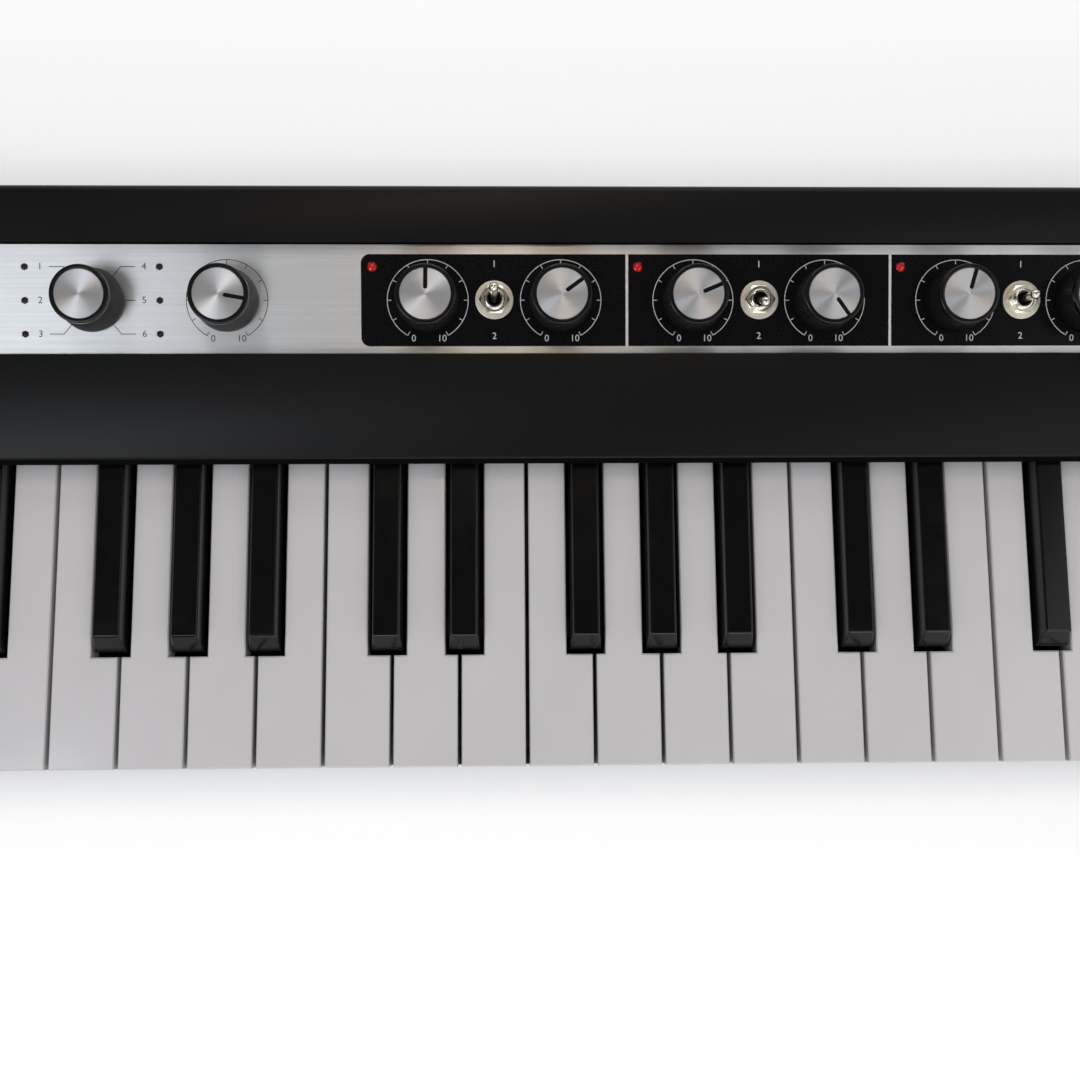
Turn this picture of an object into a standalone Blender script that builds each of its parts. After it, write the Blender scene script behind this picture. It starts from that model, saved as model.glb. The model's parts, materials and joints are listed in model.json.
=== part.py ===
"""Mini keyboard with 37 small keys and a sloping control strip: ten knobs, three lever switches, one slide.

Blender 4.5, in metres, +Z up. +X runs from the low keys to the high keys and +Y from the player to the back.
The origin is on the ground under the middle of the case. Each object is one piece that comes off on a bench.
"""

import math

import bmesh
import bpy
from mathutils import Matrix, Vector

MM = 0.001

# The case
CASE_WIDTH = 530 * MM
CASE_DEPTH = 177 * MM  # front of the end blocks to the rims of the rear sockets
CASE_WALL = 2.5 * MM
CASE_CORNER = 4 * MM
CORNER_STEPS = 2
TOP_WALL = 4.0 * MM
EDGE_ROUND = 1.2 * MM
PARTING_Z = 20 * MM
PARTING_GAP = 0.4 * MM
TONGUE_WALL = 1.0 * MM
TONGUE_RISE = 2.0 * MM
TONGUE_INSET = 0.01 * MM  # inside the wall, so that the two faces don't meet
FOOT_HEIGHT = 3 * MM
FOOT_RADIUS = 7 * MM
FOOT_DRAFT = 0.6 * MM
FOOT_INSET_X = 25 * MM
FOOT_INSET_Y = 13 * MM
CLEARANCE = 0.3 * MM  # between two pieces that rest on each other
OVERLAP = 1 * MM  # of a piece that a Boolean joins, or a cutter past the face that it opens

# The sloping top
PANEL_TILT = math.radians(9)
LIP_RISE = 11.4 * MM  # top of the front lip over the white keys
LIP_THICKNESS = 4.0 * MM
LIP_ROUND = 2.2 * MM
BACK_ROUND = 2.2 * MM
END_BLOCK_WIDTH = 35.5 * MM  # end of the case to the key bed
END_BLOCK_RISE = 4.5 * MM  # end blocks over the white keys
END_BLOCK_GAP = 0.7 * MM  # outermost keys to the end blocks
KEY_SLIP_SETBACK = 3.0 * MM  # low front wall under the keys, behind the end blocks' fronts
KEY_SLIP_TOP = 11.0 * MM

# The keys
WHITE_KEYS = 22
KEY_SLIT = 0.9 * MM
KEY_SETBACK = 0.5 * MM
KEY_SHOWN = 92.3 * MM  # key length in front of the lip
WHITE_HEAD = 34.0 * MM  # full-width front of a white key
WHITE_TOP_Z = 29 * MM
WHITE_EDGE = 0.5 * MM
SKIRT_DEPTH = 11.5 * MM
SKIRT_LENGTH = 18 * MM
SKIRT_SLOPE = 3 * MM
BODY_DEPTH = 8 * MM
KEY_WALL = 1.3 * MM
KEY_ROOF = 1.8 * MM
BLACK_WIDTH = 10.8 * MM
BLACK_TOP_WIDTH = 7.6 * MM
BLACK_SLOT = 11.7 * MM  # between the two white keys beside a black one
BLACK_RISE = 5.2 * MM
BLACK_FRONT_SLOPE = 5.2 * MM
BLACK_WALL = 1.5 * MM
BLACK_FRONT_GAP = 0.5 * MM
BLACK_EDGE = 0.6 * MM
BLACK_SHELTERED = 6.2 * MM  # raised top that runs on under the lip
# Place of each black key against the joint between its two white keys, by joint within the octave
BLACK_OFFSETS = {1: -1.5 * MM, 2: 1.5 * MM, 4: -2.7 * MM, 5: 0.0, 6: 2.7 * MM}
JOINTS_IN_OCTAVE = 7
KEY_TRAVEL = math.radians(2.5)

# The keys' pivots, guides and stops
PIVOT_DROP = 4.5 * MM  # white top to pivot axis
PIVOT_RADIUS = 2.5 * MM
PIVOT_SIDES = 12
KNUCKLE_CLEARANCE = 0.1 * MM
KNUCKLE_WALL = 1.8 * MM
KNUCKLE_WIDTH = 7 * MM
KNUCKLE_MOUTH = math.radians(60)  # half of the snap-on opening, from straight down
KNUCKLE_STEPS = 6
KNUCKLE_BACK_STEPS = 3
TAIL_GAP = 8 * MM  # end of the key's channel to the pivot axis
WEB_THICKNESS = 2 * MM
GUIDE_THICKNESS = 3 * MM
GUIDE_FROM_FRONT = 10 * MM
GUIDE_OVERLAP = 3.5 * MM  # guide inside a white key's skirt at rest
HOOK_WIDTH = 3 * MM
HOOK_THICKNESS = 1.6 * MM
HOOK_REACH = 5 * MM
HOOK_GAP = 0.5 * MM
STOP_RAIL_WIDTH = 6 * MM
STOP_RAIL_HEIGHT = 2.2 * MM
WHITE_STOP_BACK = 23 * MM  # key front to the front of the white keys' stop rail
BLACK_STOP_BACK = 5.5 * MM  # black front to the front of the black keys' stop rail
STOP_RAIL_DROP = 5.4 * MM  # underside of a key's channel to the top of a stop rail
FRAME_RAIL_WIDTH = 10 * MM
FRAME_FLANGE_WIDTH = 7 * MM
FRAME_FLANGE_FOOT = 1.5 * MM  # flange behind the web
FRAME_FLANGE = 2.2 * MM
FRAME_TO_BAY = 0.8 * MM  # flange to the battery bay
FRAME_RIB = 2 * MM
RIB_INSET = 0.1 * MM  # keeps a rib's faces off those of the rails
RAIL_INSET = 0.5 * MM
FRAME_RIB_HEIGHT = 4.5 * MM

# The control strip, in its own plane: u along the case, v up the slope, n out of it
PANEL_DEPTH = 33.0 * MM
PANEL_BACK_MARGIN = 18.1 * MM  # strip to the back of the case, along the slope
CONTROL_LINE = 0.4 * MM  # row of controls in front of the strip's middle
PANEL_THICKNESS = 1.5 * MM
PANEL_RECESS = 1.6 * MM
PANEL_CORNER = 1.0 * MM
PANEL_LEDGE = 3 * MM
PANEL_STEPS = 22.32  # control steps in the strip's length
KNOB_STEPS = {
    "volume_knob": -10.5,
    "type_knob": -7.5,
    "drive_knob": -5.5,
    "tremolo_depth_knob": -2.5,
    "tremolo_rate_knob": -0.5,
    "chorus_depth_knob": 1.5,
    "chorus_speed_knob": 3.5,
    "delay_depth_knob": 5.5,
    "delay_time_knob": 7.5,
    "reverb_depth_knob": 9.5,
}
# Pointer of each knob, clockwise from straight back
KNOB_TURNS = {
    "volume_knob": -35,
    "drive_knob": 100,
    "tremolo_depth_knob": 1,
    "tremolo_rate_knob": 54,
    "chorus_depth_knob": 67,
    "chorus_speed_knob": 144.5,
    "delay_depth_knob": 15.6,
    "delay_time_knob": 40,
    "reverb_depth_knob": -70,
}
LEVER_STEPS = {"tremolo_switch_lever": -1.5, "chorus_switch_lever": 2.5, "delay_switch_lever": 6.5}
LEVER_LEANS = {"tremolo_switch_lever": -12.5, "chorus_switch_lever": 12.5, "delay_switch_lever": 0.0}
SLIDE_STEPS = {"octave_slider": -9.5}
SECTION_STEPS = (-3.5, 0.5, 4.5)  # left edges of the sections that have a lamp
LAMP_INSET = 3.35 * MM
LAMP_BACK = 10.15 * MM
LAMP_RADIUS = 1.5 * MM
LAMP_SUNK = 0.8 * MM
DOT_RADIUS = 0.85 * MM
DOT_SUNK = 0.25 * MM
DOT_AROUND = "type_knob"

# Knobs
KNOB_RADIUS = 9.8 * MM
KNOB_NECK = 8.7 * MM
KNOB_HEIGHT = 11.7 * MM
KNOB_LIFT = 0.4 * MM
KNOB_RIBS = 12
RIB_DEPTH = 0.45 * MM
CAP_RADIUS = 7.6 * MM
CAP_SUNK = 0.35 * MM
POINTER_WIDTH = 1.1 * MM
POINTER_START = 2.4 * MM
POINTER_DEPTH = 0.5 * MM
SHAFT_RADIUS = 3.0 * MM
SHAFT_LENGTH = 8 * MM
SHAFT_CLEARANCE = 0.4 * MM
SHAFT_SIDES = 8
CAP_SIDES = 14

# Lever switches
BUSHING_RADIUS = 3.0 * MM
BUSHING_BORE = 2.2 * MM
BUSHING_RISE = 3.3 * MM
BORE_DEPTH = 5.0 * MM
WASHER_RADIUS = 5.8 * MM
WASHER_THICKNESS = 0.6 * MM
NUT_RADIUS = 4.6 * MM
NUT_THICKNESS = 1.7 * MM
LEVER_LENGTH = 11.5 * MM
LEVER_ROOT = 1.0 * MM
LEVER_TIP = 1.5 * MM
LEVER_BALL = 1.8 * MM
LEVER_PIVOT_RISE = 0.6 * MM
TURNED_SIDES = 10
LEVER_SIDES = 7
LAMP_SIDES = 6

# Slide switch
SLIDE_TRAVEL = 4 * MM  # each way
SLIDE_CAP = Vector((5, 8, 5.5)) * MM
SLIDE_STEM = Vector((3, 2.2, 6)) * MM
SLIDE_GROOVE = 0.6 * MM

# Main board under the strip
BOARD_DROP = 11 * MM
BOARD_THICKNESS = 1.6 * MM
BOARD_MARGIN = 4 * MM
BOARD_BACK_GAP = 2 * MM
BOARD_HALF_DEPTH = 14 * MM
POT_SIZE = 12 * MM
POT_HEIGHT = 6.5 * MM
POT_BUSHING_WALL = 1.6 * MM
NUT_SIDES = 6
SWITCH_SIZE = Vector((9, 8)) * MM
SWITCH_HEIGHT = 7 * MM
SLIDE_BODY = Vector((16, 8, 5)) * MM

# Sockets and power button in the back wall
SOCKET_PROUD = 1.2 * MM
SOCKET_WALL = 1.2 * MM
SOCKET_SINK = 0.8 * MM  # top of a socket's body inside the board
SOCKET_Z = 31 * MM
JACK_XS = tuple(x * MM for x in (-8, 20, 48, 76))
JACK_BORE = 3.3 * MM
JACK_RIM = 4.5 * MM
JACK_BODY = Vector((13, 19, 13)) * MM
JACK_REACH = 17 * MM  # depth of a socket's bore
USB_X = -38 * MM
USB_SIZE = Vector((12, 16, 11)) * MM
USB_MOUTH = Vector((8.4, 9, 7.8)) * MM
MIDI_X = -62 * MM
MIDI_SIZE = Vector((14, 12, 13)) * MM
MIDI_RADIUS = 4.6 * MM
INLET_X = -84 * MM
INLET_SIZE = Vector((9, 14, 11)) * MM
INLET_RADIUS = 3.2 * MM
INLET_PIN = 1.0 * MM
MIDI_DEPTH = 8 * MM
INLET_DEPTH = 9 * MM
SOCKET_PIN_ROOT = 1 * MM
USB_SHELL = 1 * MM
USB_TONGUE = Vector((5.6, 9, 3.2)) * MM
USB_GAP = 0.5 * MM
POWER_X = -102 * MM
POWER_BUTTON = Vector((7, 9, 4.5)) * MM
POWER_BODY = Vector((11, 12, 9)) * MM
POWER_TRAVEL = 1.0 * MM
POWER_GAP = 0.4 * MM
POWER_ROUND = 0.5 * MM
SOCKET_BOARD_HALF = 110 * MM

# Speakers in the ends of the top
SPEAKER_BAY = 39 * MM  # end of the case to the strip
SPEAKER_MARGIN = 3.7 * MM  # speaker's flange to the edges of its bay, on average
SPEAKER_OFFSET = 0.5 * MM  # of the speaker's axis from the middle of its bay, inward
SPEAKER_LIP = 2.3 * MM  # flange outside the mouth
SPEAKER_RIM = 1.2 * MM
SPEAKER_DEPTH = 13 * MM
SPEAKER_MAGNET_HEIGHT = 5 * MM
SPEAKER_STEPS = 12
GRILLE_SUNK = 0.3 * MM
GRILLE_THICKNESS = 1.0 * MM
GRILLE_RINGS = 2
GRILLE_SIDES = 5  # holes in the first ring

# Battery bay and its cover
CELL_DIAMETER = 14.5 * MM
CELL_LENGTH = 50.5 * MM
CELL_ROWS = 2
CELLS_IN_ROW = 3
BAY_WALL = 1.2 * MM
BAY_HEAD = 0.5 * MM
BAY_ENDS = 1.0 * MM
BAY_LEDGE = 2.8 * MM
COVER_GAP = 0.35 * MM
COVER_TAB = Vector((12, 2.2, 1.4)) * MM
COVER_TABS = 3
COVER_TAB_SPREAD = 0.8  # of the cover's half length
TAB_ROOT = 2.5 * MM
TAB_STEP = 0.6 * MM
LATCH_SIZE = Vector((14, 1.4, 1.8)) * MM
LATCH_INSET = 0.2 * MM
LATCH_GRIP = Vector((16, 5, 0.8)) * MM
LATCH_GRIP_INSET = 2.5 * MM

# Screw posts that hold the two halves of the case together
POST_SIDES = 8
POST_RADIUS = 4 * MM
BOSS_RADIUS = 3.5 * MM
POST_TOP = 13.7 * MM
SCREW_RECESS = 2.8 * MM
SCREW_RECESS_DEPTH = 6 * MM
POST_INSET_X = 13 * MM
POST_INSET_Y = 12 * MM
REAR_POST_X = 125 * MM

# Places and sizes that follow from the ones above
FRONT_Y = -CASE_DEPTH / 2
BACK_Y = CASE_DEPTH / 2 - SOCKET_PROUD
HALF_WIDTH = CASE_WIDTH / 2
FLOOR_Z = FOOT_HEIGHT + CASE_WALL
BED_HALF = HALF_WIDTH - END_BLOCK_WIDTH
KEYS_HALF = BED_HALF - END_BLOCK_GAP
WHITE_PITCH = 2 * KEYS_HALF / WHITE_KEYS
KEY_FRONT_Y = FRONT_Y + KEY_SETBACK
LIP_Y = KEY_FRONT_Y + KEY_SHOWN
LIP_Z = WHITE_TOP_Z + LIP_RISE
END_BLOCK_Z = WHITE_TOP_Z + END_BLOCK_RISE
BAY_BACK_Y = BACK_Y - CASE_WALL - CLEARANCE - BAY_WALL
BAY_FRONT_Y = BAY_BACK_Y - CELL_ROWS * CELL_DIAMETER - BAY_LEDGE
FLANGE_BACK_Y = BAY_FRONT_Y - BAY_WALL - FRAME_TO_BAY
PIVOT_Y = FLANGE_BACK_Y - FRAME_FLANGE_FOOT - WEB_THICKNESS / 2
PIVOT_Z = WHITE_TOP_Z - PIVOT_DROP
PIVOT_BACK = PIVOT_Y - KEY_FRONT_Y  # key front to pivot axis
FRAME_Z = FLOOR_Z + CLEARANCE
BLACK_FRONT = WHITE_HEAD + BLACK_FRONT_GAP - PIVOT_BACK
PANEL_LENGTH = CASE_WIDTH - 2 * SPEAKER_BAY
CONTROL_STEP = PANEL_LENGTH / PANEL_STEPS
SPEAKER_X = HALF_WIDTH - SPEAKER_BAY / 2 - SPEAKER_OFFSET
SPEAKER_FLANGE = SPEAKER_BAY / 2 - SPEAKER_MARGIN
SPEAKER_MOUTH = SPEAKER_FLANGE - SPEAKER_LIP
SPEAKER_MAGNET = SPEAKER_MOUTH * 2 / 3
GRILLE_PITCH = SPEAKER_MOUTH * 0.385
GRILLE_HOLE = SPEAKER_MOUTH * 0.14


def slab_z(y):
    """Height of the sloping top at a distance y."""
    return LIP_Z + (y - LIP_Y) * math.tan(PANEL_TILT)


PANEL_FRONT = CONTROL_LINE - PANEL_DEPTH / 2  # the strip's edges, from the row of controls
PANEL_BACK = CONTROL_LINE + PANEL_DEPTH / 2
PANEL_Y = BACK_Y - (PANEL_BACK_MARGIN + PANEL_BACK) * math.cos(PANEL_TILT)
PANEL_FRAME = Matrix.Translation((0, PANEL_Y, slab_z(PANEL_Y))) @ Matrix.Rotation(PANEL_TILT, 4, "X")


def clear_scene():
    for obj in list(bpy.data.objects):
        bpy.data.objects.remove(obj, do_unlink=True)


def make_collection(name):
    collection = bpy.data.collections.new(name)
    bpy.context.scene.collection.children.link(collection)
    return collection


clear_scene()
PIECES = make_collection("mini_keyboard")
HELPERS = make_collection("cutters")


def make_material(name, colour, roughness, metallic=0.0):
    material = bpy.data.materials.new(name)
    material.use_nodes = True
    shader = material.node_tree.nodes["Principled BSDF"]
    shader.inputs["Base Color"].default_value = (*colour, 1)
    shader.inputs["Roughness"].default_value = roughness
    shader.inputs["Metallic"].default_value = metallic
    material.diffuse_color = (*colour, 1)
    return material


MATERIALS = {
    "case": make_material("case_plastic", (0.020, 0.020, 0.022), 0.55),
    "panel": make_material("brushed_panel", (0.62, 0.62, 0.63), 0.32, 1.0),
    "white": make_material("white_key_plastic", (0.78, 0.77, 0.75), 0.22),
    "black": make_material("black_key_plastic", (0.008, 0.008, 0.009), 0.15),
    "knob": make_material("knob_plastic", (0.015, 0.015, 0.016), 0.4),
    "lever": make_material("nickel", (0.72, 0.68, 0.62), 0.2, 1.0),
    "frame": make_material("frame_plastic", (0.05, 0.05, 0.055), 0.6),
    "board": make_material("circuit_board", (0.02, 0.12, 0.05), 0.5),
    "speaker": make_material("speaker_metal", (0.03, 0.03, 0.032), 0.45, 0.6),
}


def shade(mesh):
    mesh.shade_smooth()
    mesh.set_sharp_from_angle(angle=math.radians(32))


def piece(name, mesh, material, place=None):
    """An object that is one node of the product."""
    if not mesh.materials:
        mesh.materials.append(MATERIALS[material])
    shade(mesh)
    obj = bpy.data.objects.new(name, mesh)
    PIECES.objects.link(obj)
    obj.matrix_world = place or Matrix()
    return obj


def helper(name, mesh, place=None):
    obj = bpy.data.objects.new(name, mesh)
    HELPERS.objects.link(obj)
    obj.hide_render = True
    obj.display_type = "WIRE"
    obj.matrix_world = place or Matrix()
    return obj


def combine(target, operation, mesh, place=None):
    """Cuts a mesh out of the target, joins it to the target or keeps only what they share."""
    tool = helper(f"{target.name}_{operation.lower()}", mesh, place)
    modifier = target.modifiers.new(tool.name, "BOOLEAN")
    modifier.operation = operation
    modifier.object = tool


def cut(target, mesh, place=None):
    combine(target, "DIFFERENCE", mesh, place)


def join(target, mesh, place=None):
    combine(target, "UNION", mesh, place)


def frozen(obj):
    """The object's mesh with its modifiers applied."""
    bpy.context.view_layer.update()
    graph = bpy.context.evaluated_depsgraph_get()
    return bpy.data.meshes.new_from_object(obj.evaluated_get(graph))


def box(low, high):
    """A block between two corners."""
    mesh = bpy.data.meshes.new("box")
    bm = bmesh.new()
    bmesh.ops.create_cube(bm, size=1)
    low, high = Vector(low), Vector(high)
    bmesh.ops.scale(bm, vec=high - low, verts=bm.verts)
    bmesh.ops.translate(bm, vec=(low + high) / 2, verts=bm.verts)
    bm.to_mesh(mesh)
    bm.free()
    return mesh


def boxes(corner_pairs):
    """Several blocks in one mesh, clear of each other."""
    mesh = bpy.data.meshes.new("boxes")
    bm = bmesh.new()
    for low, high in corner_pairs:
        low, high = Vector(low), Vector(high)
        made = bmesh.ops.create_cube(bm, size=1)["verts"]
        bmesh.ops.scale(bm, vec=high - low, verts=made)
        bmesh.ops.translate(bm, vec=(low + high) / 2, verts=made)
    bm.to_mesh(mesh)
    bm.free()
    return mesh


def cylinders(centres, radius, low, high, sides, top_radius=None):
    """Round posts along Z in one mesh, clear of each other. centres are (x, y) pairs."""
    mesh = bpy.data.meshes.new("cylinders")
    bm = bmesh.new()
    for x, y in centres:
        bmesh.ops.create_cone(
            bm,
            cap_ends=True,
            segments=sides,
            radius1=radius,
            radius2=radius if top_radius is None else top_radius,
            depth=high - low,
            matrix=Matrix.Translation((x, y, (low + high) / 2)) @ Matrix.Rotation(math.pi / sides, 4, "Z"),
        )
    bm.to_mesh(mesh)
    bm.free()
    return mesh


def circle(radius, sides, centre=(0, 0)):
    turn = 2 * math.pi / sides
    return [
        (centre[0] + radius * math.cos((i + 0.5) * turn), centre[1] + radius * math.sin((i + 0.5) * turn))
        for i in range(sides)
    ]


def arc(centre, radius, start, end, steps):
    """Points from angle start to angle end, both in degrees."""
    angles = [math.radians(start + (end - start) * i / steps) for i in range(steps + 1)]
    return [(centre[0] + radius * math.cos(a), centre[1] + radius * math.sin(a)) for a in angles]


def rounded_rectangle(low, high, radius, steps=3):
    (x0, y0), (x1, y1) = low, high
    return (
        arc((x0 + radius, y0 + radius), radius, 180, 270, steps)
        + arc((x1 - radius, y0 + radius), radius, 270, 360, steps)
        + arc((x1 - radius, y1 - radius), radius, 0, 90, steps)
        + arc((x0 + radius, y1 - radius), radius, 90, 180, steps)
    )


# An outline drawn in XY turns to stand across X or across Y
ACROSS = {
    "Z": Matrix(((1, 0, 0), (0, 1, 0), (0, 0, 1))),
    "X": Matrix(((0, 0, 1), (1, 0, 0), (0, 1, 0))),
    "Y": Matrix(((0, 1, 0), (0, 0, 1), (1, 0, 0))),
}


def prism(axis, low, high, *outlines):
    """A flat outline pushed along an axis, with any further outlines as holes in it.

    Points are (x, y) for axis Z, (y, z) for axis X and (z, x) for axis Y.
    """
    curve = bpy.data.curves.new("outline", "CURVE")
    curve.dimensions = "2D"
    curve.fill_mode = "BOTH"
    curve.extrude = (high - low) / 2
    for points in outlines:
        spline = curve.splines.new("POLY")
        spline.points.add(len(points) - 1)
        spline.use_cyclic_u = True
        for point, (a, b) in zip(spline.points, points):
            point.co = (a, b, 0, 1)
    drawn = helper("outline", curve)
    mesh = frozen(drawn)
    bpy.data.objects.remove(drawn)
    bm = bmesh.new()
    bm.from_mesh(mesh)
    bmesh.ops.remove_doubles(bm, verts=bm.verts, dist=1e-6)
    bmesh.ops.translate(bm, vec=(0, 0, (low + high) / 2), verts=bm.verts)
    bmesh.ops.rotate(bm, matrix=ACROSS[axis], verts=bm.verts)
    bmesh.ops.dissolve_limit(bm, angle_limit=math.radians(0.5), verts=bm.verts, edges=bm.edges)
    bmesh.ops.recalc_face_normals(bm, faces=bm.faces)
    bm.to_mesh(mesh)
    bm.free()
    return mesh


def turned(profile, steps):
    """A profile of (radius, height) points, from the top of the axis round to its bottom, spun about Z."""
    mesh = bpy.data.meshes.new("profile")
    mesh.from_pydata([(r, 0, z) for r, z in profile], [(i, i + 1) for i in range(len(profile) - 1)], [])
    obj = helper("turned", mesh)
    screw = obj.modifiers.new("spin", "SCREW")
    screw.steps = steps
    screw.render_steps = steps
    screw.use_merge_vertices = True
    screw.merge_threshold = 1e-6
    made = frozen(obj)
    bpy.data.objects.remove(obj)
    return made


def bevel_edges(mesh, chosen, width, segments=1):
    """Rounds the edges for which chosen(edge) is true."""
    bm = bmesh.new()
    bm.from_mesh(mesh)
    bmesh.ops.dissolve_limit(bm, angle_limit=math.radians(0.5), verts=bm.verts, edges=bm.edges)
    edges = [e for e in bm.edges if chosen(e)]
    bmesh.ops.bevel(
        bm,
        geom=edges,
        offset=width,
        offset_type="OFFSET",
        segments=segments,
        profile=0.5,
        affect="EDGES",
        clamp_overlap=True,
        material=-1,
    )
    bm.to_mesh(mesh)
    bm.free()
    return mesh


def at_height(z):
    """Chooses the level edges at a height."""
    return lambda edge: all(abs(v.co.z - z) < 1e-6 for v in edge.verts) and edge.calc_face_angle(0) > 0.5


# Keys


def black_joint(joint):
    """Offset of the black key at a joint between white keys, or None where there is none."""
    if 0 < joint < WHITE_KEYS:
        return BLACK_OFFSETS.get(joint % JOINTS_IN_OCTAVE)
    return None


def white_outline(left_cut, right_cut, inset):
    """A white key from above, drawn in by inset all round. The pivot axis is at y = 0."""
    half = (WHITE_PITCH - KEY_SLIT) / 2 - inset
    front = inset - PIVOT_BACK
    shoulder = WHITE_HEAD - PIVOT_BACK - inset
    end = -TAIL_GAP - inset
    points = [(-half, front), (half, front)]
    if right_cut:
        points += [(half, shoulder), (half - right_cut, shoulder)]
    points += [(half - right_cut, end), (left_cut - half, end)]
    if left_cut:
        points += [(left_cut - half, shoulder), (-half, shoulder)]
    return points


def knuckle_outline():
    """The C that snaps over the pivot rail, joined to the end of the key's channel, as (y, z)."""
    mouth = math.degrees(KNUCKLE_MOUTH)
    inner = (PIVOT_RADIUS + KNUCKLE_CLEARANCE) / math.cos((math.pi - KNUCKLE_MOUTH) / KNUCKLE_STEPS)
    outer = PIVOT_RADIUS + KNUCKLE_CLEARANCE + KNUCKLE_WALL
    start = mouth - 90
    end = 270 - mouth
    root = -TAIL_GAP - KEY_WALL / 2
    return (
        arc((0, 0), outer, start, 90, KNUCKLE_BACK_STEPS)
        + [(root, PIVOT_DROP - KEY_WALL / 4), (root, PIVOT_DROP - BODY_DEPTH + KEY_WALL / 4)]
        + [(outer * math.cos(math.radians(end)), outer * math.sin(math.radians(end)))]
        + arc((0, 0), inner, end, start, KNUCKLE_STEPS)
    )


def hook_outline(rail_front, roof):
    """A stop hook behind and under its rail, as (y, z) from the pivot, for the rail's front edge."""
    rail_top = PIVOT_DROP - BODY_DEPTH - STOP_RAIL_DROP
    foot_top = rail_top - STOP_RAIL_HEIGHT - CLEARANCE
    leg = rail_front + STOP_RAIL_WIDTH + HOOK_GAP
    toe = leg - HOOK_REACH
    return [
        (toe, foot_top - HOOK_THICKNESS),
        (leg + HOOK_THICKNESS, foot_top - HOOK_THICKNESS),
        (leg + HOOK_THICKNESS, roof),
        (leg, roof),
        (leg, foot_top),
        (toe, foot_top),
    ]


def across_x(width, outline, middle=0.0):
    return prism("X", middle - width / 2, middle + width / 2, outline)


def white_key_mesh(left_offset, right_offset):
    """A white key, open underneath, with its knuckle, hook and skirt. A side of None has no notch."""
    notch = (BLACK_SLOT - KEY_SLIT) / 2
    left_cut = 0.0 if left_offset is None else notch + left_offset
    right_cut = 0.0 if right_offset is None else notch - right_offset
    top = PIVOT_DROP
    front = -PIVOT_BACK
    side = [
        (front, top - SKIRT_DEPTH),
        (front, top),
        (-TAIL_GAP, top),
        (-TAIL_GAP, top - BODY_DEPTH),
        (front + SKIRT_LENGTH + SKIRT_SLOPE, top - BODY_DEPTH),
        (front + SKIRT_LENGTH, top - SKIRT_DEPTH),
    ]
    blank = helper("white_blank", across_x(WHITE_PITCH * 2, side))
    combine(blank, "INTERSECT", prism("Z", -PIVOT_BACK, PIVOT_BACK, white_outline(left_cut, right_cut, 0.0)))
    body = helper("white_body", bevel_edges(frozen(blank), at_height(top), WHITE_EDGE))
    hollow = prism("Z", top - 2 * SKIRT_DEPTH, top - KEY_ROOF, white_outline(left_cut, right_cut, KEY_WALL))
    cut(body, hollow)
    join(body, across_x(KNUCKLE_WIDTH, knuckle_outline(), (left_cut - right_cut) / 2))
    join(body, across_x(HOOK_WIDTH, hook_outline(WHITE_STOP_BACK - PIVOT_BACK, top - KEY_ROOF / 2)))
    return frozen(body)


def black_key_mesh():
    """A black key: a drafted top with a sloping front, on a channel like the white keys'."""
    bottom = PIVOT_DROP - BODY_DEPTH
    top = PIVOT_DROP + BLACK_RISE
    raised_end = KEY_SHOWN + BLACK_SHELTERED - PIVOT_BACK
    side = [
        (BLACK_FRONT, bottom),
        (BLACK_FRONT, PIVOT_DROP),
        (BLACK_FRONT + BLACK_FRONT_SLOPE, top),
        (raised_end, top),
        (raised_end, PIVOT_DROP),
        (-TAIL_GAP, PIVOT_DROP),
        (-TAIL_GAP, bottom),
    ]
    section = [
        (bottom - KEY_WALL, -BLACK_WIDTH / 2),
        (PIVOT_DROP, -BLACK_WIDTH / 2),
        (top, -BLACK_TOP_WIDTH / 2),
        (top, BLACK_TOP_WIDTH / 2),
        (PIVOT_DROP, BLACK_WIDTH / 2),
        (bottom - KEY_WALL, BLACK_WIDTH / 2),
    ]
    blank = helper("black_blank", across_x(BLACK_WIDTH * 2, side))
    combine(blank, "INTERSECT", prism("Y", -PIVOT_BACK, 0.0, section))
    body = helper("black_body", bevel_edges(frozen(blank), at_height(top), BLACK_EDGE))
    roof = PIVOT_DROP - KEY_ROOF
    high_roof = PIVOT_DROP + KEY_WALL
    hollow = [
        (BLACK_FRONT + KEY_WALL, bottom - KEY_WALL),
        (BLACK_FRONT + KEY_WALL, roof),
        (BLACK_FRONT + BLACK_FRONT_SLOPE, high_roof),
        (raised_end - KEY_WALL, high_roof),
        (raised_end - KEY_WALL, roof),
        (-TAIL_GAP - KEY_WALL, roof),
        (-TAIL_GAP - KEY_WALL, bottom - KEY_WALL),
    ]
    cut(body, across_x(BLACK_WIDTH - 2 * BLACK_WALL, hollow))
    join(body, across_x(KNUCKLE_WIDTH, knuckle_outline()))
    join(body, across_x(HOOK_WIDTH, hook_outline(BLACK_FRONT + BLACK_STOP_BACK, high_roof + KEY_WALL)))
    return frozen(body)


def make_keys():
    meshes = {}
    for number in range(WHITE_KEYS):
        sides = black_joint(number), black_joint(number + 1)
        if sides not in meshes:
            meshes[sides] = white_key_mesh(*sides)
        x = (number + 0.5) * WHITE_PITCH - KEYS_HALF
        place = Matrix.Translation((x, PIVOT_Y, PIVOT_Z))
        piece(f"white_key_{number + 1:02d}", meshes[sides], "white", place)
    black = black_key_mesh()
    for number, x in enumerate(black_places()):
        piece(f"black_key_{number + 1:02d}", black, "black", Matrix.Translation((x, PIVOT_Y, PIVOT_Z)))


def black_places():
    joints = [j for j in range(1, WHITE_KEYS) if black_joint(j) is not None]
    return [j * WHITE_PITCH - KEYS_HALF + black_joint(j) for j in joints]


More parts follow.
